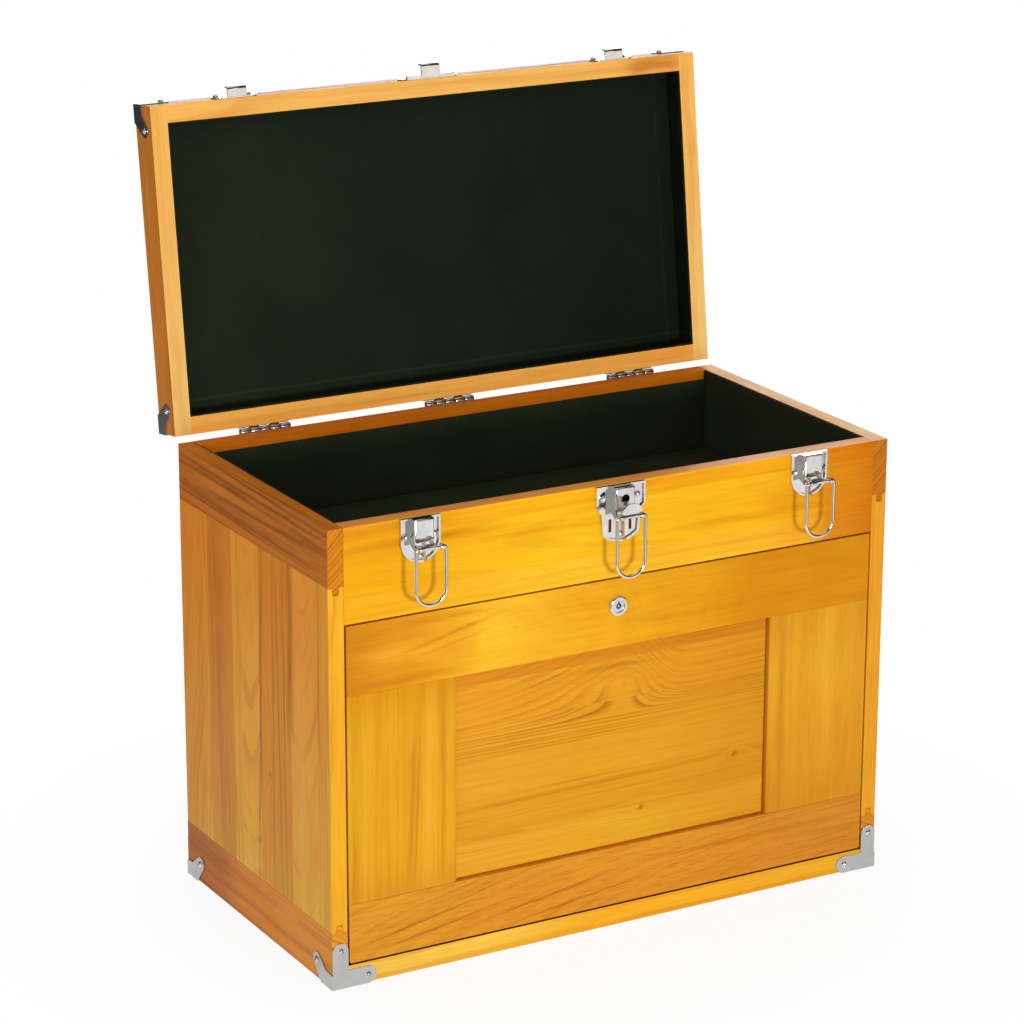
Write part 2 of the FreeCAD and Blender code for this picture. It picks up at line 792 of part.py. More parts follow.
group("drawer_dividers", [
    board("divider_left", (f"-{DIVIDER_FACE} - divider_board", f"-{DIVIDER_FACE}"), SHELF_DEPTH,
          (ROW_ONE_LOW, TILL_LOW)),
    board("divider_right", (DIVIDER_FACE, f"{DIVIDER_FACE} + divider_board"), SHELF_DEPTH,
          (ROW_ONE_LOW, TILL_LOW)),
])


# ---------------------------------------------------------------- drawers

def drawer(label, middle, opening, low, high, knob_places):
    """A drawer box of five boards, and its turned knobs."""
    half = f"({opening} / 2 - drawer_side_gap)"
    left = f"{middle} - {half}"
    right = f"{middle} + {half}"
    floor = f"{low} + seat_gap"
    top = f"{high} - drawer_top_gap"
    behind_front = f"{DRAWER_FACE} + drawer_front"
    side_top = f"{top} - drawer_side_drop"
    inside = (f"{left} + drawer_side", f"{right} - drawer_side")
    before_back = f"{DRAWER_END} - drawer_side"
    base = f"{floor} + drawer_bottom_lift"
    base_top = f"{base} + drawer_bottom"
    group(f"{label}_box", [
        board(f"{label}_front", (left, right), (DRAWER_FACE, behind_front), (floor, top)),
        board(f"{label}_left", (left, inside[0]), (behind_front, DRAWER_END), (floor, side_top)),
        board(f"{label}_right", (inside[1], right), (behind_front, DRAWER_END), (floor, side_top)),
        board(f"{label}_rear", inside, (before_back, DRAWER_END), (floor, side_top)),
        board(f"{label}_bottom", inside, (behind_front, before_back), (base, base_top)),
    ])
    knobs = []
    crown = "(knob_length - knob_shoulder)"
    for number, offset in enumerate(knob_places):
        knob = new_body(f"{label}_knob_{number}", (f"{middle} + {offset}", DRAWER_FACE,
                                                   f"({floor} + {top}) / 2"))
        outline = [
            ("0", "0"), ("knob_neck", "0"), ("knob_neck", "knob_stem"),
            ("knob_radius", "knob_swell"), ("knob_radius", "knob_shoulder"),
            ("0", "knob_length", f"(knob_radius ^ 2 + {crown} ^ 2) / (2 * {crown})", "ccw"),
        ]
        turned = [(point[0], f"-({point[1]})") + tuple(point[2:]) for point in outline]
        turned[-1] = turned[-1][:3] + ("cw",)
        revolve(knob, "XY", turned, "V_Axis")
        knobs.append(knob)
    group(f"{label}_knobs", knobs)


BAY_STEP = f"({BAY} + divider_board)"
WIDE = f"(2 * {INNER})"
WIDE_KNOBS = ("knob_inset - case_width / 2", "case_width / 2 - knob_inset")
drawer("drawer_1", f"-{BAY_STEP}", BAY, ROW_ONE_LOW, TILL_LOW, ("0",))
drawer("drawer_2", "0", BAY, ROW_ONE_LOW, TILL_LOW, ("0",))
drawer("drawer_3", BAY_STEP, BAY, ROW_ONE_LOW, TILL_LOW, ("0",))
drawer("drawer_4", "0", WIDE, ROW_TWO_LOW, ROW_TWO_TOP, WIDE_KNOBS)
drawer("drawer_5", "0", WIDE, ROW_THREE_LOW, ROW_THREE_TOP, WIDE_KNOBS)
drawer("drawer_6", "0", WIDE, ROW_FOUR_LOW, ROW_FOUR_TOP, WIDE_KNOBS)


# ---------------------------------------------------------------- front panel

def panel_frame():
    """The frame: two rails across its full width, two stiles between them, grooved for the field."""
    groove_face = f"{FIELD_FACE} + field_step"
    groove = rectangle(f"-({FIELD_HALF} + field_tongue)", f"{FIELD_HALF} + field_tongue",
                       f"{FIELD_LOW} - field_tongue", f"{FIELD_TOP} + field_tongue")
    top_rail = new_body("panel_top_rail")
    corner = "panel_corner"
    outline = [
        (f"-{PANEL_HALF}", FIELD_TOP), (PANEL_HALF, FIELD_TOP),
        (PANEL_HALF, f"{PANEL_TOP} - {corner}"),
        (f"{PANEL_HALF} - {corner}", PANEL_TOP, corner, "ccw"),
        (f"-{PANEL_HALF} + {corner}", PANEL_TOP),
        (f"-{PANEL_HALF}", f"{PANEL_TOP} - {corner}", corner, "ccw"),
    ]
    extrude(top_rail, "XZ", [outline], FRONT, PANEL_BACK)
    extrude(top_rail, "XZ", [groove], groove_face, FIELD_BACK, cut=True)
    hole = [("circle", "0", CAM_HEIGHT, "cam_barrel_radius + turn_play")]
    extrude(top_rail, "XZ", hole, FRONT, PANEL_BACK, cut=True)
    keep(top_rail, "panel_top_rail")

    low_rail = new_body("panel_bottom_rail")
    outline = [
        (f"-{PANEL_HALF}", f"{PANEL_LOW} + {corner}"),
        (f"-{PANEL_HALF} + {corner}", PANEL_LOW, corner, "ccw"),
        (f"{PANEL_HALF} - {corner}", PANEL_LOW),
        (PANEL_HALF, f"{PANEL_LOW} + {corner}", corner, "ccw"),
        (PANEL_HALF, FIELD_LOW), (f"-{PANEL_HALF}", FIELD_LOW),
    ]
    extrude(low_rail, "XZ", [outline], FRONT, PANEL_BACK)
    extrude(low_rail, "XZ", [groove], groove_face, FIELD_BACK, cut=True)
    sockets = [
        ("circle", f"{hand} * {PIN_SIDE}", "pin_height", "pin_radius") for hand in (-1, 1)
    ]
    extrude(low_rail, "XZ", sockets, f"{PANEL_BACK} - pin_reach", PANEL_BACK, cut=True)
    keep(low_rail, "panel_bottom_rail")

    for name, hand in (("left", -1), ("right", 1)):
        stile = new_body(f"panel_{name}_stile")
        inner = f"{hand} * {FIELD_HALF}"
        bevel = f"{hand} * ({FIELD_HALF} + stile_bevel)"
        outline = [
            (f"{hand} * {PANEL_HALF}", FRONT), (f"{hand} * {PANEL_HALF}", PANEL_BACK),
            (inner, PANEL_BACK), (inner, f"{FRONT} + stile_bevel_drop"), (bevel, FRONT),
        ]
        extrude(stile, "XY", [outline], FIELD_LOW, FIELD_TOP)
        extrude(stile, "XZ", [groove], groove_face, FIELD_BACK, cut=True)
        keep(stile, f"panel_{name}_stile")


def panel_field():
    """The floating field: a raised face with a thin tongue all round it."""
    field = new_body("panel_field")
    raised = rectangle(f"-({FIELD_HALF} - field_margin)", f"{FIELD_HALF} - field_margin",
                       f"{FIELD_LOW} + field_margin", f"{FIELD_TOP} - field_margin")
    reach = "(field_tongue - glue_gap)"
    tongue = rectangle(f"-({FIELD_HALF} + {reach})", f"{FIELD_HALF} + {reach}",
                       f"{FIELD_LOW} - {reach}", f"{FIELD_TOP} + {reach}")
    extrude(field, "XZ", [tongue], f"{FIELD_FACE} + field_step", FIELD_BACK)
    extrude(field, "XZ", [raised], FIELD_FACE, f"{FIELD_FACE} + field_step")
    keep(field, "panel_field")


def panel_lock():
    """A cam lock: rim and barrel through the top rail, a nut behind it, and a plug with a cam."""
    case = new_body("panel_lock_body", ("0", FRONT, CAM_HEIGHT))
    depth = "(apron_board - panel_setback)"
    bore = "cam_plug_radius + turn_play"
    ring = ("circle", "0", "0", bore)
    extrude(case, "XZ", [("circle", "0", "0", "cam_barrel_radius"), ring], "0", depth)
    extrude(case, "XZ", [("circle", "0", "0", "cam_rim_radius"), ring], "-cam_rim_proud", "0")
    nut = ("circle", "0", "0", "cam_nut_radius")
    extrude(case, "XZ", [nut, ring], depth, f"{depth} + cam_nut_height")
    round_edges(case, "cam_rim_round",
                lambda spot: spot.y < -value("cam_rim_proud") + NEAR
                and math.hypot(spot.x, spot.z) > value("cam_rim_radius") - NEAR)
    keep(case, "panel_lock_body")
    plug = new_body("panel_lock_cam", ("0", FRONT, CAM_HEIGHT))
    cam_face = f"{depth} + cam_nut_height + seat_gap"
    extrude(plug, "XZ", [("circle", "0", "0", "cam_plug_radius")], "-cam_plug_proud", cam_face)
    cam = [
        ("-cam_width / 2", "-cam_width / 2"), ("cam_reach", "-cam_width / 2"),
        ("cam_reach", "cam_width / 2"), ("-cam_width / 2", "cam_width / 2"),
    ]
    extrude(plug, "XZ", [cam], cam_face, f"{cam_face} + cam_sheet")
    keyway_floor = "-cam_plug_proud + keyway_depth"
    for shape in (("circle", "0", "0", "keyway_radius"),
                  rectangle("-keyway_slot / 2", "keyway_slot / 2", "0", "keyway_slot_high")):
        extrude(plug, "XZ", [shape], "-cam_plug_proud", keyway_floor, cut=True)
    post = ("circle", "0", "0", "keyway_post_radius")
    extrude(plug, "XZ", [post], "-cam_post_proud", keyway_floor)
    keep(plug, "panel_lock_cam")


def panel_pins():
    """Two pins in the back of the bottom rail, which enter the bottom board's front edge."""
    pins = []
    for number, hand in enumerate((-1, 1)):
        pin = new_body(f"panel_pin_{number}")
        spot = ("circle", f"{hand} * {PIN_SIDE}", "pin_height", "pin_radius")
        extrude(pin, "XZ", [spot], f"{PANEL_BACK} - pin_reach", f"{BEHIND_APRON} + pin_reach")
        pins.append(pin)
    group("panel_pins", pins)


panel_frame()
panel_field()
panel_lock()
panel_pins()


# ---------------------------------------------------------------- lid

def lid_frame_parts():
    """The lid's frame: two stiles the full depth of the lid and two rails between them."""
    reach = "(lid_tongue + glue_gap)"
    groove = rectangle(f"-({LID_INNER} + {reach})", f"{LID_INNER} + {reach}",
                       f"-({LID_INNER_DEPTH} + {reach})", f"{LID_INNER_DEPTH} + {reach}")
    stiles = []
    for hand in (-1, 1):
        stile = board(f"lid_stile_{'left' if hand < 0 else 'right'}",
                      (f"{hand} * {LID_INNER}", f"{hand} * case_width / 2"), (FRONT, BACK),
                      (RIM, LID_TOP))
        extrude(stile, "XY", [groove], LID_BOARD_LOW, LID_BOARD_TOP, cut=True)
        stiles.append(stile)
    rails = []
    for hand in (-1, 1):
        rail = board(f"lid_rail_{'front' if hand < 0 else 'back'}", (f"-{LID_INNER}", LID_INNER),
                     (f"{hand} * {LID_INNER_DEPTH}", f"{hand} * case_depth / 2"), (RIM, LID_TOP))
        extrude(rail, "XY", [groove], LID_BOARD_LOW, LID_BOARD_TOP, cut=True)
        rails.append(rail)
    for label, members in (("lid_stiles", stiles), ("lid_rails", rails)):
        pair = DOC.addObject("Part::Compound", f"{label}_blank")
        pair.Links = members
        drilled(label, pair, LID_PILOTS, in_lid=True)


def lid_panel():
    panel = board("lid_panel_blank",
                  (f"-({LID_INNER} + lid_tongue)", f"{LID_INNER} + lid_tongue"),
                  (f"-({LID_INNER_DEPTH} + lid_tongue)", f"{LID_INNER_DEPTH} + lid_tongue"),
                  (LID_BOARD_LOW, LID_BOARD_TOP))
    drilled("lid_panel", panel, HANDLE_PILOTS, in_lid=True)


def lid_lining():
    """The felt in the lid: a sheet on the panel and a strip on each wall."""
    low = f"{RIM} + lid_lining_drop"
    face = f"{LID_BOARD_LOW} - lid_lining"
    across = (f"-{LID_INNER}", LID_INNER)
    wall = f"{LID_INNER_DEPTH} - lid_lining"
    side = f"{LID_INNER} - lid_lining"
    group("lid_lining", [
        board("lid_felt_top", across, (f"-{LID_INNER_DEPTH}", LID_INNER_DEPTH),
              (face, LID_BOARD_LOW)),
        board("lid_felt_front", across, (f"-{LID_INNER_DEPTH}", f"-({wall})"), (low, face)),
        board("lid_felt_back", across, (wall, LID_INNER_DEPTH), (low, face)),
        board("lid_felt_left", (f"-{LID_INNER}", f"-({side})"), (f"-({wall})", wall), (low, face)),
        board("lid_felt_right", (side, LID_INNER), (f"-({wall})", wall), (low, face)),
    ], in_lid=True)


lid_frame_parts()
lid_panel()
lid_lining()


# ---------------------------------------------------------------- sheet corner brackets

LOBE_START = -35
LOBE_TOP = 45
LOBE_END = 125


def lobe_outline(fold, fold_high, lobe_in, lobe_up, radius, mirror_up=1):
    """A side flange: a folded foot that runs up at a slant to a round lobe for one screw."""
    def spot(degrees):
        turn = math.radians(degrees)
        x = f"{lobe_in} + {radius} * {math.cos(turn):.5f}"
        y = f"{mirror_up} * ({lobe_up} + {radius} * {math.sin(turn):.5f})"
        return x, y

    way = "ccw" if mirror_up > 0 else "cw"
    return [
        ("-bracket_sheet", "0"), (fold, "0"), spot(LOBE_START), spot(LOBE_TOP) + (radius, way),
        spot(LOBE_END) + (radius, way),
        (f"{fold} * bracket_waist", f"{mirror_up} * ({fold_high} + bracket_waist_rise)"),
        ("-bracket_sheet", f"{mirror_up} * ({fold_high})"),
    ]


def base_bracket():
    """The bracket of the front left corner, in a frame at that corner, X inward and Y to the back."""
    body = new_body("base_bracket_form", ("-case_width / 2", FRONT, "0"))
    sheet = "bracket_sheet"
    end = "(bracket_arm / 2)"
    low_end = "(bracket_arm / 2 + bracket_lift)"
    arm_top = f"(2 * {low_end})"
    flange = [
        (f"-{sheet}", "0"), ("bracket_arm_long", "0"),
        (f"bracket_arm_long + {low_end}", low_end, low_end, "ccw"),
        ("bracket_arm_long", arm_top, low_end, "ccw"),
        ("bracket_arm", arm_top), ("bracket_arm", "bracket_arm_high"),
        (end, f"bracket_arm_high + {end}", end, "ccw"),
        ("0", "bracket_arm_high", end, "ccw"), ("0", "bracket_fold_high"),
        (f"-{sheet}", "bracket_fold_high"),
    ]
    extrude(body, "XZ", [flange], f"-{sheet}", "0")
    side = lobe_outline("bracket_fold", "bracket_fold_high", "bracket_lobe_in", "bracket_lobe_up",
                        "bracket_lobe_radius")
    extrude(body, "YZ", [side], f"-{sheet}", "0")
    foot = [
        (f"-{sheet}", f"-{sheet}"), ("bracket_arm_long", f"-{sheet}"),
        ("bracket_fold", "bracket_fold_high"), ("bracket_fold_high", "bracket_fold"),
        (f"-{sheet}", "bracket_fold"),
    ]
    extrude(body, "XY", [foot], "0", sheet)
    return body


def lid_bracket():
    """The bracket of the lid's front left corner, over its front, side and top."""
    body = new_body("lid_bracket_form", ("-case_width / 2", FRONT, LID_TOP))
    sheet = "bracket_sheet"
    end = "(lid_bracket_arm / 2)"
    flange = [
        (f"-{sheet}", sheet), (f"-{sheet}", "-lid_bracket_arm"), ("lid_bracket_long", "-lid_bracket_arm"),
        (f"lid_bracket_long + {end}", f"-{end}", end, "ccw"),
        ("lid_bracket_long", "0", end, "ccw"), ("lid_bracket_long", sheet),
    ]
    extrude(body, "XZ", [flange], f"-{sheet}", "0")
    side = lobe_outline("lid_fold", "lid_bracket_arm", "lid_lobe_in", "lid_lobe_down",
                        "lid_lobe_radius", mirror_up=-1)
    extrude(body, "YZ", [side], f"-{sheet}", "0")
    cap = [
        (f"-{sheet}", f"-{sheet}"), ("lid_bracket_long", f"-{sheet}"),
        ("lid_fold", "lid_fold * 0.5"), ("lid_fold * 0.5", "lid_fold"), (f"-{sheet}", "lid_fold"),
    ]
    extrude(body, "XY", [cap], "0", sheet)
    return body


def four_corners(label, form, seats, in_lid):
    """The bracket at all four corners, with its screw holes."""
    right = mirrored(form, f"{label}_right", X_MIRROR)
    back_left = mirrored(form, f"{label}_back_left", Y_MIRROR)
    back_right = mirrored(right, f"{label}_back_right", Y_MIRROR)
    compound = DOC.addObject("Part::Compound", f"{label}_blank")
    compound.Links = [form, right, back_left, back_right]
    drilled(label, compound, seats, in_lid)


four_corners("corner_brackets", base_bracket(), CASE_PILOTS, False)
four_corners("lid_brackets", lid_bracket(), LID_PILOTS, True)


# ---------------------------------------------------------------- hinges

KNUCKLES = 5


def knuckle_limits(number):
    """The X limits of one of a hinge's knuckles, measured from its middle."""
    low = f"hinge_width * ({number} / {KNUCKLES} - 1 / 2) + knuckle_gap"
    high = f"hinge_width * ({number + 1} / {KNUCKLES} - 1 / 2) - knuckle_gap"
    return low, high


def hinge_leaf(name, middle, knuckles, upward):
    """A leaf on the back face, with its curled knuckles about the hinge line."""
    body = new_body(name, (middle, HINGE_LINE, RIM))
    plate = rectangle("-hinge_width / 2", "hinge_width / 2", f"{upward} * hinge_leaf_gap",
                      f"{upward} * hinge_leaf")
    extrude(body, "XZ", [plate], "-hinge_offset", "-hinge_offset + hinge_sheet")
    bore = ("circle", "0", "0", "hinge_pin_radius + hinge_pin_play")
    web = [
        ("-hinge_offset", f"{upward} * hinge_leaf_gap * 2"),
        ("-hinge_offset", f"{upward} * hinge_leaf_gap"),
        ("-hinge_web_out", f"{upward} * hinge_web_low"),
        ("-hinge_web_in", f"{upward} * hinge_web_out"),
    ]
    for number in knuckles:
        limits = knuckle_limits(number)
        extrude(body, "YZ", [web], *limits)
        extrude(body, "YZ", [("circle", "0", "0", "hinge_knuckle_radius")], *limits)
    extrude(body, "YZ", [bore], "-hinge_width / 2", "hinge_width / 2", cut=True)
    return body


def hinges():
    case_leaves = DOC.addObject("Part::Compound", "hinge_case_leaves_blank")
    case_leaves.Links = [
        hinge_leaf(f"case_leaf_{number}", middle, (0, 2, 4), -1) for number, middle in enumerate(HINGES)
    ]
    drilled("hinge_case_leaves", case_leaves, CASE_PILOTS)
    lid_leaves = DOC.addObject("Part::Compound", "hinge_lid_leaves_blank")
    lid_leaves.Links = [
        hinge_leaf(f"lid_leaf_{number}", middle, (1, 3), 1) for number, middle in enumerate(HINGES)
    ]
    drilled("hinge_lid_leaves", lid_leaves, LID_PILOTS, in_lid=True)
    pins = []
    for number, middle in enumerate(HINGES):
        pin = new_body(f"hinge_pin_{number}", (middle, HINGE_LINE, RIM))
        extrude(pin, "YZ", [("circle", "0", "0", "hinge_pin_radius")], "-hinge_width / 2",
                "hinge_width / 2")
        pins.append(pin)
    group("hinge_pins", pins)


hinges()


# ---------------------------------------------------------------- latches

def add_ears(body, drop):
    """Two ears under the latch box, bored for the lever's pin, which lies that far under the rim."""
    for hand in (-1, 1):
        sheet = (f"{hand} * (box_width / 2) - ear_sheet / 2 - {hand} * ear_sheet / 2",
                 f"{hand} * (box_width / 2) + ear_sheet / 2 - {hand} * ear_sheet / 2")
        outline = [
            ("0", "-box_drop + 1"), ("0", "-box_drop - 2"), ("-lever_out", f"-{drop} - ear_round"),
            ("-lever_out - ear_round", f"-{drop}", "ear_round", "cw"), ("-box_proud", "-box_drop + 1"),
        ]
        extrude(body, "YZ", [outline], *sheet)
    bore = ("circle", "-lever_out", f"-{drop}", "lever_pin_radius + lever_play")
    extrude(body, "YZ", [bore], "-box_width / 2 - 1", "box_width / 2 + 1", cut=True)


def side_latch(label, middle):
    """The plate of an outer latch: a shield with a raised edge, a spring box and two ears."""
    body = new_body(f"{label}_blank", (middle, FRONT, RIM))

    def shield(inset):
        half = f"(latch_width / 2 - {inset})"
        turn = "-(latch_height - latch_width / 2)"
        return [
            (f"-{half}", f"-rim_gap - {inset}"), (f"-{half}", turn),
            ("0", f"{turn} - {half}", half, "ccw"), (half, turn, half, "ccw"),
            (half, f"-rim_gap - {inset}"),
        ]

    extrude(body, "XZ", [shield("0")], "-latch_edge", "0")
    extrude(body, "XZ", [shield("latch_edge_wall")], "-latch_edge", "-latch_floor", cut=True)
    box = rectangle("-box_width / 2", "box_width / 2", "-box_drop", "-rim_gap")
    extrude(body, "XZ", [box], "-box_proud", "0")
    round_edges(body, "box_round", lambda spot: spot.y < NEAR - value("box_proud"))
    add_ears(body, "lever_drop")
    drilled(label, body, LATCH_PILOTS[label])


def lock_plate():
    """The plate of the middle latch: a stepped shield, the lock's box, its keyhole and two slots."""
    body = new_body("lock_base_blank", ("0", FRONT, RIM))

    def shield(inset):
        half = f"(lock_width / 2 - {inset})"
        neck = f"(lock_neck / 2 - {inset})"
        foot = f"(lock_foot / 2 - {inset})"
        sag = "(lock_height - lock_foot_drop)"
        curve = f"(({foot} ^ 2 + {sag} ^ 2) / (2 * {sag}))"
        return [
            (f"-{half}", f"-rim_gap - {inset}"), (f"-{half}", "-lock_shoulder"),
            (f"-{neck}", "-lock_neck_drop"), (f"-{foot}", f"-lock_foot_drop + {inset}"),
            ("0", f"-lock_height + {inset}", curve, "ccw"),
            (foot, f"-lock_foot_drop + {inset}", curve, "ccw"),
            (neck, "-lock_neck_drop"), (half, "-lock_shoulder"), (half, f"-rim_gap - {inset}"),
        ]

    extrude(body, "XZ", [shield("0")], "-lock_edge", "0")
    extrude(body, "XZ", [shield("lock_edge_wall")], "-lock_edge", "-lock_floor", cut=True)
    box = rectangle("-box_width / 2", "box_width / 2", "-box_drop", "-lock_box_top")
    extrude(body, "XZ", [box], "-lock_box_proud", "0")
    round_edges(body, "box_round", lambda spot: spot.y < NEAR - value("lock_box_proud"))
    add_ears(body, "lock_lever_drop")
    key_bottom = "-lock_box_proud + keyhole_depth"
    hole = ("circle", "0", "-keyhole_drop", "keyhole_radius + turn_play")
    extrude(body, "XZ", [hole], "-lock_box_proud", key_bottom, cut=True)
    slot = rectangle("-keyhole_slot / 2", "keyhole_slot / 2", "-keyhole_slot_drop", "-keyhole_drop")
    extrude(body, "XZ", [slot], "-lock_box_proud", "-lock_box_proud + rotor_recess", cut=True)
    for hand in (-1, 1):
        middle = f"{hand} * lock_slot_in"
        opening = rectangle(f"{middle} - lock_slot_width / 2", f"{middle} + lock_slot_width / 2",
                            "-lock_slot_bottom", "-lock_slot_top")
        extrude(body, "XZ", [opening], "-lock_edge", "0", cut=True)
    drilled("lock_base", body, LATCH_PILOTS["lock_base"])


def lever(label, middle, drop, tabbed):
    """A latch lever on its pin: plate, cross bar and two bored eyes; the middle one has a thumb tab."""
    body = new_body(label)
    bind(body, "Placement",
         f"placement(vector({middle}; {FRONT} - lever_out; {RIM} - {drop}); "
         "rotation(vector(1; 0; 0); -lever_tilt))")
    inner = "box_width / 2 - ear_sheet - lever_side_gap"
    barrel = ("circle", "0", "0", "lever_barrel_radius")
    extrude(body, "YZ", [barrel], f"-({inner})", inner)
    extrude(body, "YZ", [("circle", "0", "0", "lever_pin_radius")], "-box_width / 2", "box_width / 2")
    plate = rectangle("-lever_width / 2", "lever_width / 2", "-lever_reach", "0")
    extrude(body, "XY", [plate], "-lever_sheet / 2", "lever_sheet / 2")
    bar = ("circle", "-lever_reach", "0", "lever_bar_radius")
    extrude(body, "YZ", [bar], "-eye_inner", "eye_inner")
    bore = ("circle", "-lever_reach", "0", "bail_wire_radius + eye_play")
    eye = ("circle", "-lever_reach", "0", "eye_radius")
    extrude(body, "YZ", [eye, bore], "-eye_outer", "-eye_inner")
    extrude(body, "YZ", [eye, bore], "eye_inner", "eye_outer")
    if tabbed:
        sag = "(tab_length - tab_neck)"
        curve = f"((tab_half_width ^ 2 + {sag} ^ 2) / (2 * {sag}))"
        tab = [
            ("-tab_neck_half", "0"), ("-tab_neck_half", "-tab_neck"),
            ("-tab_half_width", "-tab_neck"), ("0", "-tab_length", curve, "ccw"),
            ("tab_half_width", "-tab_neck", curve, "ccw"), ("tab_neck_half", "-tab_neck"),
            ("tab_neck_half", "0"),
        ]
        tilt = "placement(vector(0; -lever_reach; 0); rotation(vector(1; 0; 0); -tab_tilt))"
        extrude(body, "XY", [tab], "0", "lever_sheet", turned=tilt)
    keep(body, label)


EYE_OUT = "(lever_out + lever_reach * cos(lever_tilt * 1 deg))"
EYE_RISE = "(lever_reach * sin(lever_tilt * 1 deg))"


def bail(label, middle, drop, length):
    """A wire bail whose ends turn in through the eyes of its lever."""
    body = new_body(label, (middle, f"{FRONT} - {EYE_OUT}", f"{RIM} - {drop} + {EYE_RISE}"))
    half = "(bail_spread / 2)"
    path = new_sketch(body, "XZ", "0")
    tip = "(eye_inner + bail_tip_gap)"
    straight = f"-({length} - {half})"
    edges = draw(path, [
        (f"-{tip}", "0"), (f"-({half} - bail_bend)", "0"),
        (f"-{half}", "-bail_bend", "bail_bend", "ccw"), (f"-{half}", straight),
        ("0", f"-{length}", half, "ccw"), (half, straight, half, "ccw"),
        (half, "-bail_bend"), (f"{half} - bail_bend", "0", "bail_bend", "ccw"), (tip, "0"),
    ], closed=False)
    section = new_sketch(body, "YZ", f"-{tip}")
    draw_circle(section, "0", "0", "bail_wire_radius")
    wire = body.newObject("PartDesign::AdditivePipe", f"{label}_wire")
    wire.Profile = section
    wire.Spine = (path, [f"Edge{number + 1}" for number in range(len(edges))])
    keep(body, label)


LATCH_PILOTS = {
    label: pilots(f"{label}_pilots", RIVET_SEATS[first:first + 3])
    for label, first in (("left_latch_base", 0), ("right_latch_base", 3), ("lock_base", 6))
}
side_latch("left_latch_base", f"-{LATCH_SIDE}")
side_latch("right_latch_base", LATCH_SIDE)
lock_plate()
for name, middle, drop, length in (
    ("left_latch", f"-{LATCH_SIDE}", "lever_drop", "bail_length"),
    ("right_latch", LATCH_SIDE, "lever_drop", "bail_length"),
    ("lock", "0", "lock_lever_drop", "lock_bail_length"),
):
    lever(f"{name}_lever", middle, drop, tabbed=name == "lock")
    bail(f"{name}_bail", middle, drop, length)


def lock_rotor():
    """The turning core behind the keyhole, with the post that a barrel key fits over."""
    body = new_body("lock_rotor", ("0", FRONT, f"{RIM} - keyhole_drop"))
    back_face = "-lock_box_proud + keyhole_depth"
    face = "-lock_box_proud + rotor_recess"
    extrude(body, "XZ", [("circle", "0", "0", "keyhole_radius")], face, back_face)
    extrude(body, "XZ", [("circle", "0", "0", "rotor_post_radius")], "-lock_box_proud + rotor_post_set", face)
    keep(body, "lock_rotor")


lock_rotor()


# ---------------------------------------------------------------- strikes

def strike_plate(body, width, corner):
    """A plate on the lid's front edge, with rounded ends."""
    half = f"({width} / 2)"
    low_z = f"({RIM} + strike_low)"
    high_z = f"({RIM} + strike_high)"
    outline = [
        (f"-{half} + {corner}", low_z, corner, "ccw"), (f"{half} - {corner}", low_z),
        (half, f"{low_z} + {corner}", corner, "ccw"), (half, f"{high_z} - {corner}"),
        (f"{half} - {corner}", high_z, corner, "ccw"), (f"-{half} + {corner}", high_z),
        (f"-{half}", f"{high_z} - {corner}", corner, "ccw"), (f"-{half}", f"{low_z} + {corner}"),
    ]
    extrude(body, "XZ", [outline], f"{FRONT} - strike_sheet", FRONT)


def strike_tongue(body, reach):
    """The hook that the bail pulls on: a tongue that leaves the plate and turns up at its tip."""
    half = "(strike_tongue_width / 2)"
    low = f"{RIM} + strike_tongue_low"
    out = f"{FRONT} - {reach}"
    top = f"{RIM} + strike_tip_high"
    bend = "(strike_sheet * 2)"
    outline = [
        (FRONT, low), (FRONT, f"{low} + strike_sheet"),
        (f"{out} + {bend}", f"{low} + strike_sheet"),
        (f"{out} + strike_sheet", f"{low} + {bend}", "strike_sheet", "cw"),
        (f"{out} + strike_sheet", top), (out, top), (out, f"{low} + {bend}"),
        (f"{out} + {bend}", low, bend, "ccw"),
    ]
    extrude(body, "YZ", [outline], f"-{half}", half)


def strikes():
    side = []
    for name, middle in (("left", f"-{LATCH_SIDE}"), ("right", LATCH_SIDE)):
        body = new_body(f"strike_{name}", (middle, "0", "0"))
        strike_plate(body, "strike_width", "strike_corner")
        strike_tongue(body, "strike_tongue_out")
        side.append(body)
    pair = DOC.addObject("Part::Compound", "side_strikes_blank")
    pair.Links = side
    drilled("side_strikes", pair, LID_PILOTS, in_lid=True)
    body = new_body("lock_strike_blank")
    strike_plate(body, "lock_strike_width", "lock_strike_corner")
    strike_tongue(body, "lock_strike_tongue_out")
    for hand in (-1, 1):
        inner = f"{hand} * lock_strike_flange_in"
        outer = f"{hand} * (lock_strike_flange_in + lock_strike_flange)"
        flange = [
            (outer, f"{FRONT} - lock_strike_flange_out"), (outer, FRONT), (inner, FRONT),
            (inner, f"{FRONT} - lock_strike_flange_out"),
        ]
        extrude(body, "XY", [flange], f"{RIM} + strike_low", f"{RIM} + strike_low + strike_sheet")
    drilled("lock_strike", body, LID_PILOTS, in_lid=True)


strikes()


# ---------------------------------------------------------------- carrying handle

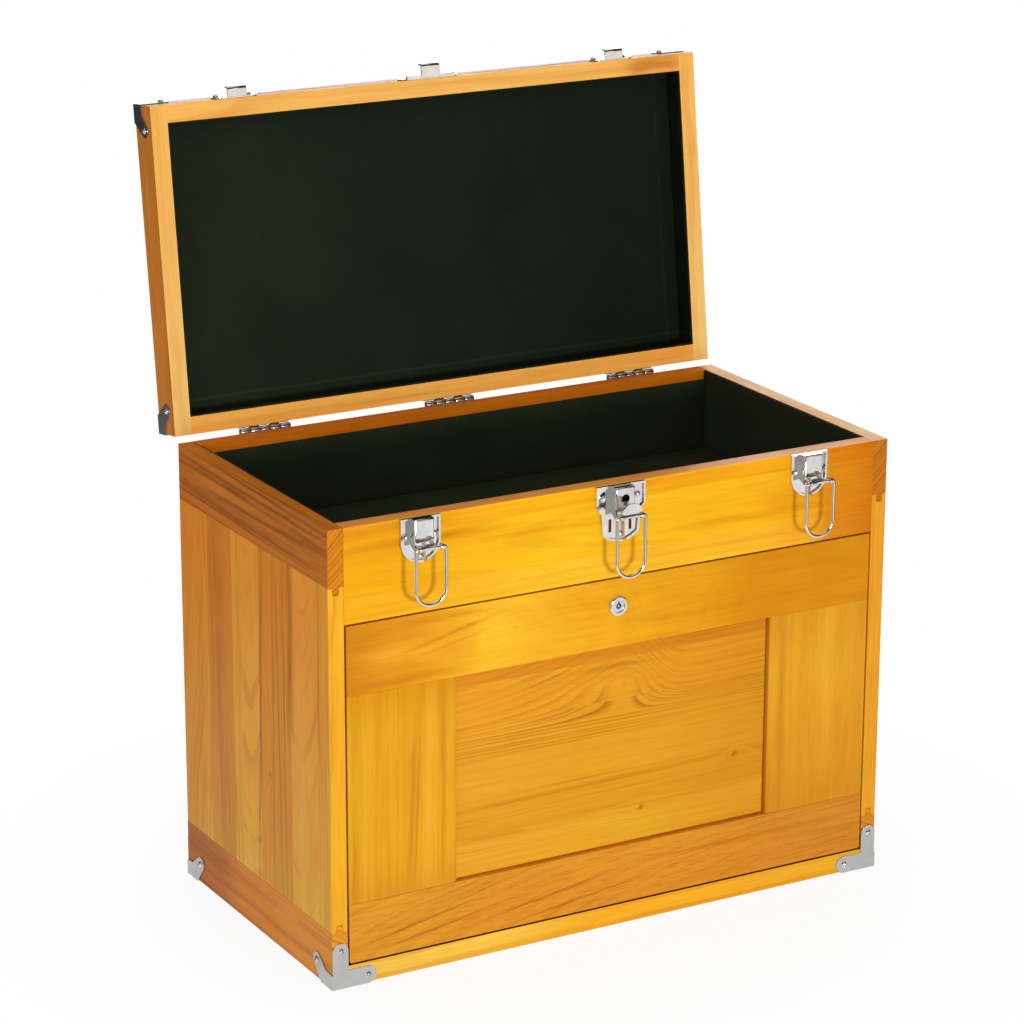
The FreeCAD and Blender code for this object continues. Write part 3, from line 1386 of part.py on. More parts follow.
def handle():
    """A leather strap over the lid, held at each end by a bent metal loop on a plate."""
    strap = new_body("handle_strap", in_lid=True)
    rest = f"({LID_BOARD_TOP} + loop_sheet + loop_play)"
    path = [
        ("-handle_spread / 2 - strap_flat / 2", "0"), ("-handle_spread / 2 + strap_flat / 2", "0"),
        ("-handle_spread / 2 + strap_flat / 2 + strap_slope", "strap_rise"),
    ]
    mirror = [(f"-({x})", z) for x, z in reversed(path)]
    lower = [(x, f"{rest} + {z}") for x, z in path + mirror]
    upper = [(x, f"{rest} + {z} + strap_thick") for x, z in reversed(path + mirror)]
    extrude(strap, "XZ", [lower + upper], "-strap_width / 2", "strap_width / 2")
    keep(strap, "handle_strap")
    loops = []
    for number, end in enumerate((-1, 1)):
        loop = new_body(f"handle_loop_{number}", (f"{end} * handle_spread / 2", "0", LID_BOARD_TOP))
        plate = rectangle("-loop_plate_length / 2", "loop_plate_length / 2",
                          "-loop_plate_width / 2", "loop_plate_width / 2")
        extrude(loop, "XY", [plate], "0", "loop_sheet")
        inner = "(strap_width / 2 + loop_play)"
        rise = "(loop_sheet + 2 * loop_play + strap_thick)"
        bridge = [
            (f"-{inner} - loop_sheet", "0"), (f"-{inner}", "0"), (f"-{inner}", rise),
            (inner, rise), (inner, "0"), (f"{inner} + loop_sheet", "0"),
            (f"{inner} + loop_sheet", f"{rise} + loop_sheet"),
            (f"-{inner} - loop_sheet", f"{rise} + loop_sheet"),
        ]
        extrude(loop, "YZ", [bridge], "-loop_length / 2", "loop_length / 2")
        loops.append(loop)
    pair = DOC.addObject("Part::Compound", "handle_loops_blank")
    pair.Links = loops
    drilled("handle_loops", pair, HANDLE_PILOTS, in_lid=True)


handle()

set_out("case_screws", SCREW, CASE_SEATS)
set_out("latch_rivets", RIVET, RIVET_SEATS)
lid_fasteners = set_out("lid_screws", SCREW, LID_SEATS, in_lid=True)
lid_fasteners.Shape = Part.makeCompound(
    [SCREW.Shape.transformed(spot.toMatrix()) for spot in LID_SEATS]
    + [SHORT_SCREW.Shape.transformed(spot.toMatrix()) for spot in handle_seats()]
)
place(lid_fasteners, in_lid=True)

DOC.recompute()


# ---------------------------------------------------------------- check and write

for thing in DOC.Objects:
    if "Invalid" in thing.State or "Error" in thing.State:
        raise RuntimeError(f"{thing.Label} failed: {thing.State}")
for thing in NODES:
    if thing.Shape.isNull() or not thing.Shape.isValid():
        raise RuntimeError(f"{thing.Label} has no valid shape")
    if not thing.Shape.Solids:
        raise RuntimeError(f"{thing.Label} has no solid")

os.makedirs("parts", exist_ok=True)
for thing in NODES:
    thing.Shape.exportStep(f"parts/{thing.Label}.step")
print(f"{len(NODES)} sub-parts written")
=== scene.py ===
"""A wooden tool chest with its lid open and its front panel in place, dressed and lit."""
import json
import math
from dataclasses import dataclass

import bmesh
import bpy
from mathutils import Matrix, Vector, noise

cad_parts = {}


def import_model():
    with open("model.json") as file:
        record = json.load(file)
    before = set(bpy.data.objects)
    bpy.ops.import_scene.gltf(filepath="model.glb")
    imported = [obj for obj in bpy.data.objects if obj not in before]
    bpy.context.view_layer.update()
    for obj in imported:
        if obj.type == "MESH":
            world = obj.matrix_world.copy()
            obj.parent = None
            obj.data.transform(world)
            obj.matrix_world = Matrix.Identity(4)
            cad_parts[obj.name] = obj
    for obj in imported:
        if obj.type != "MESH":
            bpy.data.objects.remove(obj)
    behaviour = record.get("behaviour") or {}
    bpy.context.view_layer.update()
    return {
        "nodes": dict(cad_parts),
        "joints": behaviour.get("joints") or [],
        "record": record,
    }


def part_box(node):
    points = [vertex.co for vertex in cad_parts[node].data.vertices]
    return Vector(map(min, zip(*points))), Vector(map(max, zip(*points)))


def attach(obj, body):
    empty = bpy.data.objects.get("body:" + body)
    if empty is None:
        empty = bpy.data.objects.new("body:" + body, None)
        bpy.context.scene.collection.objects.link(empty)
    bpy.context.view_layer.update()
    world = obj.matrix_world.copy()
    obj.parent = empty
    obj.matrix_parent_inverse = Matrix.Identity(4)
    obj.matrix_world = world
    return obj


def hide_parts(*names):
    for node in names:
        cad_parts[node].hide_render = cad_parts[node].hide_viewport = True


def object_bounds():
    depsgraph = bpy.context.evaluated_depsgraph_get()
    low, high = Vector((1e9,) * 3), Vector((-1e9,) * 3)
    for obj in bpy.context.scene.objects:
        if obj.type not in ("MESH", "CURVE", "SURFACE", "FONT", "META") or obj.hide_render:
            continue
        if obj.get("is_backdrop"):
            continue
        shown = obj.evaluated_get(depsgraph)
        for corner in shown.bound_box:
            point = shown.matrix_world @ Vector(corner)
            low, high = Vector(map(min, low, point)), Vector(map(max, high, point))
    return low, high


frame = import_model()
NODES = frame["nodes"]
LID_JOINT = next(joint for joint in frame["joints"] if joint["name"] == "lid_hinge")
HINGE = Vector(LID_JOINT["pos_m"])
LID_TILT = math.radians(-min(LID_JOINT["range_deg"]))   # the lid's turn from shut to its rest
MM = 0.001
AXES = {"X": 0, "Y": 1, "Z": 2}
UP, FRONT, LEFT = (0, 0, 1), (0, -1, 0), (-1, 0, 0)

# Colours are written as they should look, so they are divided by the light on their faces.
SIDE_LIGHT = (0.58, 0.52, 0.56)   # red, green and blue light on the left side; the front has 1
RIM_LIGHT = 0.62
FRONT_GLOSS, SIDE_GLOSS = 0.008, 0.018   # how much light the varnish adds by reflecting
DARKEST, BRIGHTEST = 0.003, 0.97


def linear(level):
    """A level from 0 to 255 as an amount of light from 0 to 1."""
    level /= 255
    return level / 12.92 if level <= 0.04045 else ((level + 0.055) / 1.055) ** 2.4


def colour(red, green, blue):
    """A colour as it should look, in 0 to 255."""
    return tuple(min(linear(level), BRIGHTEST) for level in (red, green, blue)) + (1.0,)


def amber(red, green, blue, light=1.0, gloss=FRONT_GLOSS):
    """A colour of varnished wood in that light, less what it reflects."""
    seen = [max(linear(level) - gloss, DARKEST) for level in (red, green, blue)]
    return tuple(min(level / light, BRIGHTEST) for level in seen) + (1.0,)


def rim(red, green, blue):
    """A colour seen on the level faces of the rim."""
    return amber(red, green, blue, RIM_LIGHT)


def side(red, green, blue):
    """A colour seen on the chest's left side."""
    shade = amber(red, green, blue, gloss=SIDE_GLOSS)
    return tuple(min(level / light, BRIGHTEST) for level, light in zip(shade, SIDE_LIGHT)) + (1.0,)


def scaled(shade, times):
    """A colour made that many times as bright."""
    return tuple(level * times for level in shade[:3]) + (1.0,)


# ---- materials

MIX_FIRST, MIX_SECOND, MIX_RESULT = 6, 7, 2   # where a Mix node has its colours


class Nodes:
    """A short way to write the nodes of a tree."""

    def __init__(self, tree):
        self.tree = tree

    def feed(self, socket, source):
        """Links a socket to another, or gives it a plain value."""
        if isinstance(source, bpy.types.NodeSocket):
            self.tree.links.new(source, socket)
        else:
            socket.default_value = source

    def node(self, kind, inputs=(), **settings):
        """A new node. inputs are its first inputs in order, or a table of inputs by their keys."""
        made = self.tree.nodes.new("ShaderNode" + kind)
        for name, setting in settings.items():
            setattr(made, name, setting)
        for key, source in inputs.items() if isinstance(inputs, dict) else enumerate(inputs):
            self.feed(made.inputs[key], source)
        return made

    def calc(self, operation, *inputs, clamp=False):
        """One arithmetic step on numbers."""
        return self.node("Math", inputs, operation=operation, use_clamp=clamp).outputs[0]

    def times(self, *inputs, clamp=False):
        """Two numbers multiplied, plus the third where there is one."""
        operation = "MULTIPLY" if len(inputs) == 2 else "MULTIPLY_ADD"
        return self.calc(operation, *inputs, clamp=clamp)

    def vector(self, operation, *inputs):
        """One arithmetic step on vectors."""
        made = self.node("VectorMath", inputs, operation=operation)
        return made.outputs["Value" if operation in ("DOT_PRODUCT", "LENGTH") else "Vector"]

    def reach(self, value, low, high, to_low=0.0, to_high=1.0):
        """value from low to high, spread over to_low to to_high and held there."""
        return self.node("MapRange", [value, low, high, to_low, to_high]).outputs[0]

    def mix(self, factor, first, second, blend="MIX"):
        """first where factor is 0 and second where it is 1."""
        inputs = {0: factor, MIX_FIRST: first, MIX_SECOND: second}
        return self.node("Mix", inputs, data_type="RGBA", blend_type=blend).outputs[MIX_RESULT]


class Paint(Nodes):
    """A material with a short way to write what its shader is fed."""

    def __init__(self, name, roughness=0.5, metallic=0.0, specular=0.5):
        self.material = bpy.data.materials.new(name)
        self.material.use_nodes = True
        super().__init__(self.material.node_tree)
        self.shader = self.tree.nodes["Principled BSDF"]
        self.set("Roughness", roughness)
        self.set("Metallic", metallic)
        self.set("Specular IOR Level", specular)

    def set(self, socket, source):
        self.feed(self.shader.inputs[socket], source)

    def shut(self, vector, centre, lid):
        """A lid piece's place or direction, read as if the lid were shut."""
        if not lid:
            return vector
        inputs = {"Vector": vector, "Center": centre, "Angle": LID_TILT}
        return self.node("VectorRotate", inputs, rotation_type="X_AXIS").outputs[0]

    def place(self, lid=False):
        """Object coordinates, in metres."""
        return self.shut(self.node("TexCoord").outputs["Object"], HINGE, lid)

    def facing(self, lid=False):
        """The surface's own direction, in object coordinates."""
        return self.shut(self.node("TexCoord").outputs["Normal"], (0, 0, 0), lid)

    def noise(self, place, scale=1.0, detail=2.0, roughness=0.5):
        """Cloudy spots. Nearly all of them lie between 0.3 and 0.7."""
        inputs = {"Vector": place, "Scale": scale, "Detail": detail, "Roughness": roughness}
        return self.node("TexNoise", inputs).outputs["Fac"]

    def rings(self, distance, detail, roughness=0.5):
        """Uneven bands along one distance, about one to each unit of it."""
        inputs = {"W": distance, "Scale": 1.0, "Detail": detail, "Roughness": roughness}
        return self.node("TexNoise", inputs, noise_dimensions="1D").outputs["Fac"]

    def ramp(self, factor, stops, kind="EASE"):
        """Colours along factor. stops are (position, colour), from 0 to 1."""
        made = self.node("ValToRGB", [factor])
        band = made.color_ramp
        band.interpolation = kind
        while len(band.elements) > 1:
            band.elements.remove(band.elements[0])
        for number, (position, shade) in enumerate(stops):
            element = band.elements[0] if number == 0 else band.elements.new(position)
            element.position = position
            element.color = shade
        return made.outputs["Color"]

    def along(self, value, stops, kind="EASE"):
        """Colours or numbers at places along a value. stops are (value, colour or number).

        In steps, which are kind CONSTANT, the last one starts at its place and goes on past it.
        """
        low, high = stops[0][0], stops[-1][0] + (1.0 if kind == "CONSTANT" else 0.0)
        factor = self.reach(value, low, high)
        places = [((at - low) / (high - low), shade) for at, shade in stops]
        if isinstance(stops[0][1], tuple):
            return self.ramp(factor, places, kind)
        least = min(shade for _, shade in stops)
        span = max(shade for _, shade in stops) - least or 1.0
        greys = [(at, ((shade - least) / span,) * 3 + (1.0,)) for at, shade in places]
        grey = self.node("SeparateColor", [self.ramp(factor, greys, kind)]).outputs[0]
        return self.times(grey, span, least)

    def bump(self, height, depth, strength):
        """Relief. depth is how far the surface rises where height is 1."""
        inputs = {"Strength": strength, "Distance": depth, "Height": height}
        self.set("Normal", self.node("Bump", inputs).outputs[0])


@dataclass
class Strip:
    """One glued strip of a board, from low upwards. Lengths are in mm.

    Its growth rings are circles round the tree's heart, which lies across the face at heart and
    depth below it. taper is how much nearer the heart comes with each mm along the grain, which
    closes the rings into arches, and rise is how far the grain climbs with each mm. ring is the
    width of a year. bands and lines say how strongly broad bands and single rings show, and
    light, deep and line are the tones of the wood, of its bands and of its rings.
    """
    low: float
    light: tuple
    deep: tuple
    line: tuple
    heart: float = 0.0
    depth: float = 60.0
    taper: float = 0.0
    ring: float = 5.0
    bands: float = 0.5
    lines: float = 0.5
    rise: float = 0.0


# sizes of the spots in the wood, along the grain and across it, in mm
DRIFT, RIPPLE = (190, 55), (45, 11)   # slow and fine wander of the grain
CLOUD, FADE = (120, 22), (150, 40)    # patches of the deep tone, patches where rings fade
FIBRE, PORE, SHEEN = (60, 1.6), (14, 0.9), (60, 14)
SEED_STEP = (371.0, 113.0, 57.0)      # how far apart two boards lie in the noise, in mm
END_RING = 2.6                        # the width of a year where the wood is cut across, in mm
KNOT_TONE = colour(92, 48, 20)
FIBRE_DARK, FIBRE_PALE = (0.18, 0.18, 0.18, 1), (0.82, 0.82, 0.82, 1)


class Timber(Paint):
    """Varnished wood, cut along one axis, with its face across another.

    u is the place along the grain, v across the face and w through the board, in mm. slow and
    fine are how far the grain wanders, and wavy is both together.
    """

    def __init__(self, name, along, through, strips, tint, lid, seed):
        super().__init__(name, specular=0.07)
        self.grain_axis = along
        across = next(axis for axis in "XYZ" if axis not in (along, through))
        inputs = {"Vector": self.place(lid), "Scale": 1 / MM}
        place = self.node("VectorMath", inputs, operation="SCALE").outputs["Vector"]
        parts = self.node("SeparateXYZ", [place])
        self.u = parts.outputs[AXES[along]]
        self.v = parts.outputs[AXES[across]]
        self.w = parts.outputs[AXES[through]]
        self.spot = self.vector("ADD", place, tuple(seed * step for step in SEED_STEP))
        self.strips, self.tint = strips, tint
        self.slow = self.calc("SUBTRACT", self.noise(self.spread(*DRIFT)), 0.5)
        self.fine = self.calc("SUBTRACT", self.noise(self.spread(*RIPPLE)), 0.5)
        self.wavy = self.times(self.fine, 1.6, self.times(self.slow, 2.2))

    def spread(self, along, across):
        """A place for a noise with spots of that length and width, in mm."""
        scale = [1 / across] * 3
        scale[AXES[self.grain_axis]] = 1 / along
        return self.vector("MULTIPLY", self.spot, tuple(scale))

    def spots(self, size, low, high, *held, detail=2.0, roughness=0.5):
        """Spots of that length and width, from 0 up to 1 or as held says."""
        spots = self.noise(self.spread(*size), detail=detail, roughness=roughness)
        return self.reach(spots, low, high, *held)

    def strip(self, trait):
        """One trait of the strips: a plain value for a whole board, else steps across its face."""
        values = [(strip.low, getattr(strip, trait)) for strip in self.strips]
        if trait in ("light", "deep", "line"):
            values = [(low, self.tint(*shade)) for low, shade in values]
        if len({value for _, value in values}) == 1:
            return values[0][1]
        return self.along(self.v, values, "CONSTANT")

    def blot(self, u, v, length, width, rise=0.0, wave=1.0, power=4.0):
        """How near a place is to a spot on the face, from 1 down to 0, with a wavy edge."""
        du = self.calc("SUBTRACT", self.u, u)
        dv = self.calc("SUBTRACT", self.v, v)
        if rise:
            dv = self.times(du, -rise, dv)
        dv = self.times(self.wavy, width * wave, dv)
        du = self.calc("DIVIDE", du, length)
        dv = self.calc("DIVIDE", dv, width)
        ends = self.calc("POWER", self.calc("ABSOLUTE", du), power)
        far = self.calc("ADD", self.times(dv, dv), ends)
        return self.calc("EXPONENT", self.times(far, -1.0))

    def radius(self, wander, bend, middle):
        """How far each place is from the heart of its tree, in mm."""
        across = self.calc("SUBTRACT", self.v, self.strip("heart"))
        fall = self.times(self.strip("rise"), -1.0)
        across = self.times(self.u, fall, across)
        across = self.times(self.slow, wander * 2, across)
        if bend:
            lowest, highest, course = bend
            inside = self.reach(self.v, lowest, highest)
            course = self.along(self.u, course, "B_SPLINE")
            across = self.calc("SUBTRACT", across, self.times(inside, course))
        closing = self.times(self.strip("taper"), -1.0)
        depth = self.times(self.u, closing, self.strip("depth"))
        depth = self.calc("ADD", depth, self.calc("SUBTRACT", self.w, middle))
        squares = self.times(across, across, self.times(depth, depth))
        radius = self.times(self.slow, wander * 2, self.calc("SQRT", squares))
        return self.times(self.fine, wander * 0.5, radius)

    def knot(self, radius, u, v, size):
        """The radius with its rings pushed round a knot, and how dark the knot is."""
        near = self.blot(u, v, size * 2.4, size * 1.5, wave=0.3, power=2.0)
        radius = self.times(near, size * 1.8, radius)
        core = self.blot(u, v, size * 0.62, size * 0.36, rise=0.5, wave=0.3, power=2.0)
        light_side = self.blot(u + size * 0.35, v + size * 0.3, size * 0.5, size * 0.3, rise=0.5,
                               wave=0.2, power=2.0)
        light_side = self.times(light_side, 0.9)
        return radius, self.calc("SUBTRACT", core, light_side, clamp=True)

    def years(self, radius, even):
        """How strongly the broad bands and the dark line of each year show, from 0 to 1."""
        rings = self.calc("DIVIDE", radius, self.strip("ring"))
        broad = self.reach(self.rings(self.times(rings, 0.42), detail=1.0), 0.46, 0.66)
        if even:
            wobble = self.rings(self.times(rings, 0.43), detail=1.0)
            year = self.calc("FRACT", self.times(wobble, 1.8, rings))
            late = self.times(self.reach(year, 0.35, 0.90),
                             self.reach(year, 0.94, 1.0, 1.0, 0.0))
            vary = self.rings(self.times(self.slow, 1.5, rings), detail=0.0)
            late = self.times(late, self.reach(vary, 0.30, 0.65, 0.25, 1.0))
        else:
            late = self.reach(self.rings(rings, detail=3.0, roughness=0.62), 0.50, 0.68)
        patchy = self.spots(FADE, 0.40, 0.62, 0.25, 1.0)
        return broad, self.times(late, patchy)

    def end_grain(self, radius, tone, line):
        """Wood that is cut across its grain, with close rings and specks."""
        rings = self.rings(self.calc("DIVIDE", radius, END_RING), detail=1.0)
        year = self.reach(rings, 0.45, 0.62)
        speck = self.reach(self.noise(self.spot, scale=0.9), 0.45, 0.75)
        tone = self.mix(self.times(year, 0.75), tone, line)
        return self.mix(self.times(speck, 0.30), tone, line)


def wood(name, strips, seed, along="X", through="Y", tint=amber, wander=5.0, stains=(), knots=(),
         wash=(), bend=None, middle=0.0, patch=0.35, fibre=0.12, pores=0.0, lid=False, end=None,
         facets=(), even=False):
    """Wood with growth rings, stains, knots and a wash of light and dark along it, in mm.

    along is the axis of the grain and through that of the thickness. tint turns the tones of
    strips, stains and wash into colours. wander is how far the grain strays. stains are (along,
    across, length, width, tone, strength, rise if any) and knots (along, across, size). wash is
    the light tone at places along the board. bend is (low, high, course): from low up to high
    the grain comes to follow the course. middle is where the board lies through its thickness.
    patch, fibre and pores are how strongly the deep tone, streaks and pores show. end is the
    colour of the end grain. facets are (direction, tone, line) for faces cut from other layers
    of the wood; the sill's top carries painted shade and the right rim painted glare. An even
    board has sharp rings of nearly one width.
    """
    paint = Timber(name, along, through, strips, tint, lid, seed)
    radius = paint.radius(wander, bend, middle)
    knot_dark = None
    for knot in knots:
        radius, core = paint.knot(radius, *knot)
        knot_dark = paint.calc("MAXIMUM", knot_dark, core) if knot_dark else core

    light, deep, line = (paint.strip(trait) for trait in ("light", "deep", "line"))
    cloud = paint.spots(CLOUD, 0.36, 0.66, detail=3.0, roughness=0.6)
    tone = paint.mix(paint.times(cloud, patch), light, deep)
    if wash:
        base = tint(*strips[0].light)[:3]
        factors = [(at, tuple(level / plain for level, plain in zip(tint(*shade), base)) + (1.0,))
                   for at, shade in wash]
        tone = paint.mix(1.0, tone, paint.along(paint.u, factors), blend="MULTIPLY")

    broad, late = paint.years(radius, even)
    tone = paint.mix(paint.times(broad, paint.strip("bands")), tone, deep)
    tone = paint.mix(paint.times(late, paint.strip("lines")), tone, line)
    for u, v, length, width, shade, strength, *rise in stains:
        near = paint.blot(u, v, length, width, *rise)
        near = paint.times(near, paint.times(late, 0.35, 0.75))
        tone = paint.mix(paint.times(near, strength, clamp=True), tone, tint(*shade))
    if knots:
        tone = paint.mix(paint.times(knot_dark, 0.85), tone, KNOT_TONE)

    streak = paint.spots(FIBRE, 0.32, 0.68, detail=3.0, roughness=0.65)
    grey = paint.ramp(streak, [(0.0, FIBRE_DARK), (1.0, FIBRE_PALE)])
    tone = paint.mix(fibre, tone, grey, blend="OVERLAY")
    if pores:
        pits = paint.spots(PORE, 0.60, 0.68, detail=1.0)
        tone = paint.mix(paint.times(pits, pores), tone, line)

    facing = paint.facing(lid)
    grain_way = tuple(float(axis == along) for axis in "XYZ")
    cut = paint.calc("ABSOLUTE", paint.vector("DOT_PRODUCT", facing, grain_way))
    end_tone = paint.end_grain(radius, end or deep, scaled(end, 0.55) if end else line)
    tone = paint.mix(paint.reach(cut, 0.6, 0.9), tone, end_tone)
    for direction, plain, dark in facets:
        turned = paint.reach(paint.vector("DOT_PRODUCT", facing, direction), 0.5, 0.9)
        marks = paint.times(late, 0.5, paint.times(cloud, 0.35))
        edge_tone = paint.mix(marks, plain, dark)
        tone = paint.mix(turned, tone, paint.mix(fibre, edge_tone, grey, blend="OVERLAY"))
    paint.set("Base Color", tone)

    paint.set("Roughness", paint.spots(SHEEN, 0.3, 0.7, 0.34, 0.46, detail=3.0))
    paint.set("Coat Weight", 0.04)
    paint.set("Coat Roughness", 0.14)
    paint.bump(paint.times(late, -0.5, streak), 0.04 * MM, 0.6)
    return paint.material


def metal(name, base, roughness, spread, grit, dull, dents):
    """A plated metal with smears, fine scratches and a duller film in patches."""
    base, dull = base + (1,), dull + (1,)
    paint = Paint(name, metallic=1.0)
    spot = paint.place()
    smear = paint.noise(spot, scale=70.0, detail=5.0, roughness=0.65)
    scratch = paint.noise(spot, scale=900.0, detail=3.0)
    film = paint.reach(paint.noise(spot, scale=24.0, detail=4.0, roughness=0.7), 0.42, 0.70)
    shade = paint.mix(paint.reach(smear, 0.35, 0.75), base, scaled(base, 0.80))
    paint.set("Base Color", paint.mix(paint.times(film, 0.6), shade, dull))
    rough = paint.reach(smear, 0.3, 0.75, roughness, roughness + spread)
    paint.set("Roughness", paint.times(film, spread, rough))
    swell = paint.noise(spot, scale=160.0, detail=1.0)
    relief = paint.times(swell, dents, paint.times(scratch, grit))
    paint.bump(relief, MM, 0.5)
    return paint.material


# painted highlights: pale lines along folds of the lid's felt, in mm, and its brightness along X,
# in metres
LID_FELT_FOLD_HIGHLIGHTS = (("X", 226), ("Y", 109))
LID_FELT_SHADE = [(-0.24, 1.3), (0.0, 1.0), (0.24, 0.72)]


def felt(name, dark, pale, lid=False):
    """Short green felt. The lid's has two pale lines of painted highlight, and is darker to the
    right.
    """
    paint = Paint(name, roughness=0.97, specular=0.05)
    spot = paint.place(lid)
    nap = paint.noise(spot, scale=1100.0, detail=4.0, roughness=0.75)
    tuft = paint.noise(spot, scale=420.0, detail=3.0, roughness=0.6)
    cloud = paint.noise(spot, scale=11.0, detail=5.0, roughness=0.6)
    shade = paint.mix(paint.reach(cloud, 0.32, 0.68), dark, pale)
    shade = paint.mix(paint.reach(nap, 0.35, 0.8, 0.0, 0.35), shade, scaled(pale, 1.7))
    shade = paint.mix(paint.reach(tuft, 0.35, 0.6, 0.22, 0.0), shade, scaled(dark, 0.6))
    if lid:
        parts = paint.node("SeparateXYZ", [spot])
        # painted highlight: a pale line along each fold of the felt
        for axis, place in LID_FELT_FOLD_HIGHLIGHTS:
            off = paint.calc("SUBTRACT", parts.outputs[AXES[axis]], place * MM)
            off = paint.times(paint.calc("SUBTRACT", cloud, 0.5), 4 * MM, off)
            near = paint.reach(paint.calc("ABSOLUTE", off), 0.6 * MM, 1.6 * MM, 0.35, 0.0)
            shade = paint.mix(near, shade, scaled(pale, 1.8))
        level = paint.along(parts.outputs["X"], LID_FELT_SHADE)
        level = paint.node("CombineColor", [level, level, level]).outputs[0]
        shade = paint.mix(1.0, shade, level, blend="MULTIPLY")
    paint.set("Base Color", shade)
    paint.set("Roughness", paint.reach(tuft, 0.3, 0.7, 0.90, 1.0))
    paint.bump(paint.times(tuft, 0.3, nap), 0.20 * MM, 0.6)
    return paint.material


def leather(name):
    """Dark brown strap leather: pebbled, paler in cloudy patches, dark at its cut edges."""
    paint = Paint(name, roughness=0.5, specular=0.4)
    spot = paint.place(lid=True)
    cells = paint.node("TexVoronoi", {"Vector": spot, "Scale": 700.0}, feature="F1")
    cloud = paint.noise(spot, scale=40.0, detail=4.0)
    crease = paint.noise(paint.vector("MULTIPLY", spot, (1.0, 0.15, 1.0)), scale=220.0)
    shade = paint.mix(paint.reach(cloud, 0.3, 0.7), colour(52, 32, 22), colour(78, 48, 31))
    shade = paint.mix(paint.reach(crease, 0.56, 0.62, 0.0, 0.5), shade, colour(30, 18, 13))
    parts = paint.node("SeparateXYZ", [spot])
    edge = paint.reach(paint.calc("ABSOLUTE", parts.outputs["Y"]), 9.6 * MM, 10.8 * MM)
    shade = paint.mix(edge, shade, colour(28, 18, 13))
    paint.set("Base Color", shade)
    paint.set("Roughness", paint.reach(cloud, 0.3, 0.7, 0.42, 0.58))
    height = paint.times(crease, -0.6, cells.outputs["Distance"])
    paint.bump(height, 0.15 * MM, 0.6)
    return paint.material


def thread(name):
    """Waxed linen thread, twisted."""
    paint = Paint(name, roughness=0.7, specular=0.3)
    wave = paint.node("TexWave", {"Vector": paint.place(lid=True), "Scale": 900.0},
                      bands_direction="DIAGONAL")
    twist = wave.outputs["Fac"]
    fibre = paint.noise(paint.place(lid=True), scale=1500.0)
    paint.set("Base Color", paint.mix(twist, colour(150, 128, 92), colour(196, 176, 136)))
    paint.set("Roughness", paint.reach(fibre, 0.3, 0.7, 0.6, 0.8))
    paint.bump(twist, 0.15 * MM, 0.7)
    return paint.material


# ---- the boards

# the faces that a board has besides its grain: direction, tone, tone of its marks
RIM = (UP, rim(182, 106, 42), rim(140, 74, 26))
BACK_FACE = (FRONT, amber(224, 122, 30), amber(180, 92, 22))
FRONT_RIM = (UP, rim(206, 140, 74), rim(170, 100, 46))
# the right rim is paler than the left: its wood's tone with painted glare
RIGHT_RIM_GLARE = (UP, rim(212, 158, 90), rim(176, 112, 58))
SIDE_RIM = (UP, rim(172, 104, 42), rim(124, 68, 24))
LEFT_FRONT = (FRONT, amber(248, 182, 48), amber(212, 136, 34))
RIGHT_FRONT = (FRONT, amber(236, 164, 46), amber(196, 118, 34))
LID_SIDE = (LEFT, side(178, 108, 54), side(140, 80, 38))
LID_EDGE = (FRONT, amber(206, 132, 58), amber(166, 96, 40))
# painted shade: the top of the sill is drawn much darker than the wood of its front
SHADED_SILL_TOP = (UP, amber(112, 60, 22), amber(84, 42, 16))

# colours of the end grain, of the top rails and the apron and of the bottom rails
ENDS = {"left": amber(226, 138, 34), "right": amber(206, 122, 36), "front": amber(240, 168, 48)}
FOOT_ENDS = {"left": amber(240, 160, 48), "right": amber(222, 146, 46)}

# what the strips of one kind of board share
FRONT_LINE = (203, 120, 22)
APRON = dict(deep=(230, 148, 26), line=FRONT_LINE)
PLANK = dict(deep=(178, 110, 44), line=(146, 84, 34), depth=120, bands=0.3, lines=0.45)
CALM = dict(deep=(186, 118, 50), line=(156, 92, 38), depth=90, ring=4.0, bands=0.25, lines=0.35)
RAIL = dict(light=(168, 98, 46), deep=(144, 80, 34), line=(98, 52, 22), depth=110, ring=5.5,
            bands=0.6, lines=0.85)
# the lid's pale, whitish tones are its wood with the varnish's sheen painted in
LID_WOOD = dict(light=(252, 192, 100), deep=(241, 168, 74), line=(220, 142, 56), depth=220,
                ring=6.0, lines=0.35)
# the lid's lower rail, in brighter tones that make up for the shade it lies in: painted light
LIFTED_LOW_RAIL = dict(LID_WOOD, light=(255, 187, 88), deep=(255, 168, 68), line=(240, 144, 52))
PLAIN = dict(light=(244, 178, 74), deep=(226, 150, 52), line=(190, 116, 40), depth=140)

DRAWERS = 6

# the boards of both sides: their strips from front to back, and their tone from foot to rim
SIDE_BOARD = dict(along="Z", through="X", tint=side, wander=6, fibre=0.16, strips=[
    Strip(-140, (206, 140, 58), heart=-240, rise=0.02, **PLANK),
    Strip(-113, (200, 134, 60), heart=-84, taper=0.16, **CALM),
    Strip(-67, (188, 119, 50), heart=-240, rise=-0.02, **PLANK),
    Strip(-12, (202, 136, 60), heart=5, taper=0.14, **CALM),
    Strip(22, (202, 138, 62), heart=-120, rise=-0.03, **PLANK),
    Strip(37, (184, 114, 50), heart=240, rise=0.03, **PLANK),
    Strip(82, (194, 126, 56), heart=-200, **PLANK),
    Strip(93, (190, 120, 52), heart=-20, rise=-0.16, **PLANK),
], wash=[(44, (218, 154, 66)), (120, (210, 144, 60)), (329, (200, 132, 54))])

SIDE_RAIL = dict(along="Y", through="X", tint=side)

# how each board looks: see wood() for what the values mean
WOODS = {}


def board(node, **look):
    """Says how a node's wood looks."""
    WOODS[node] = look


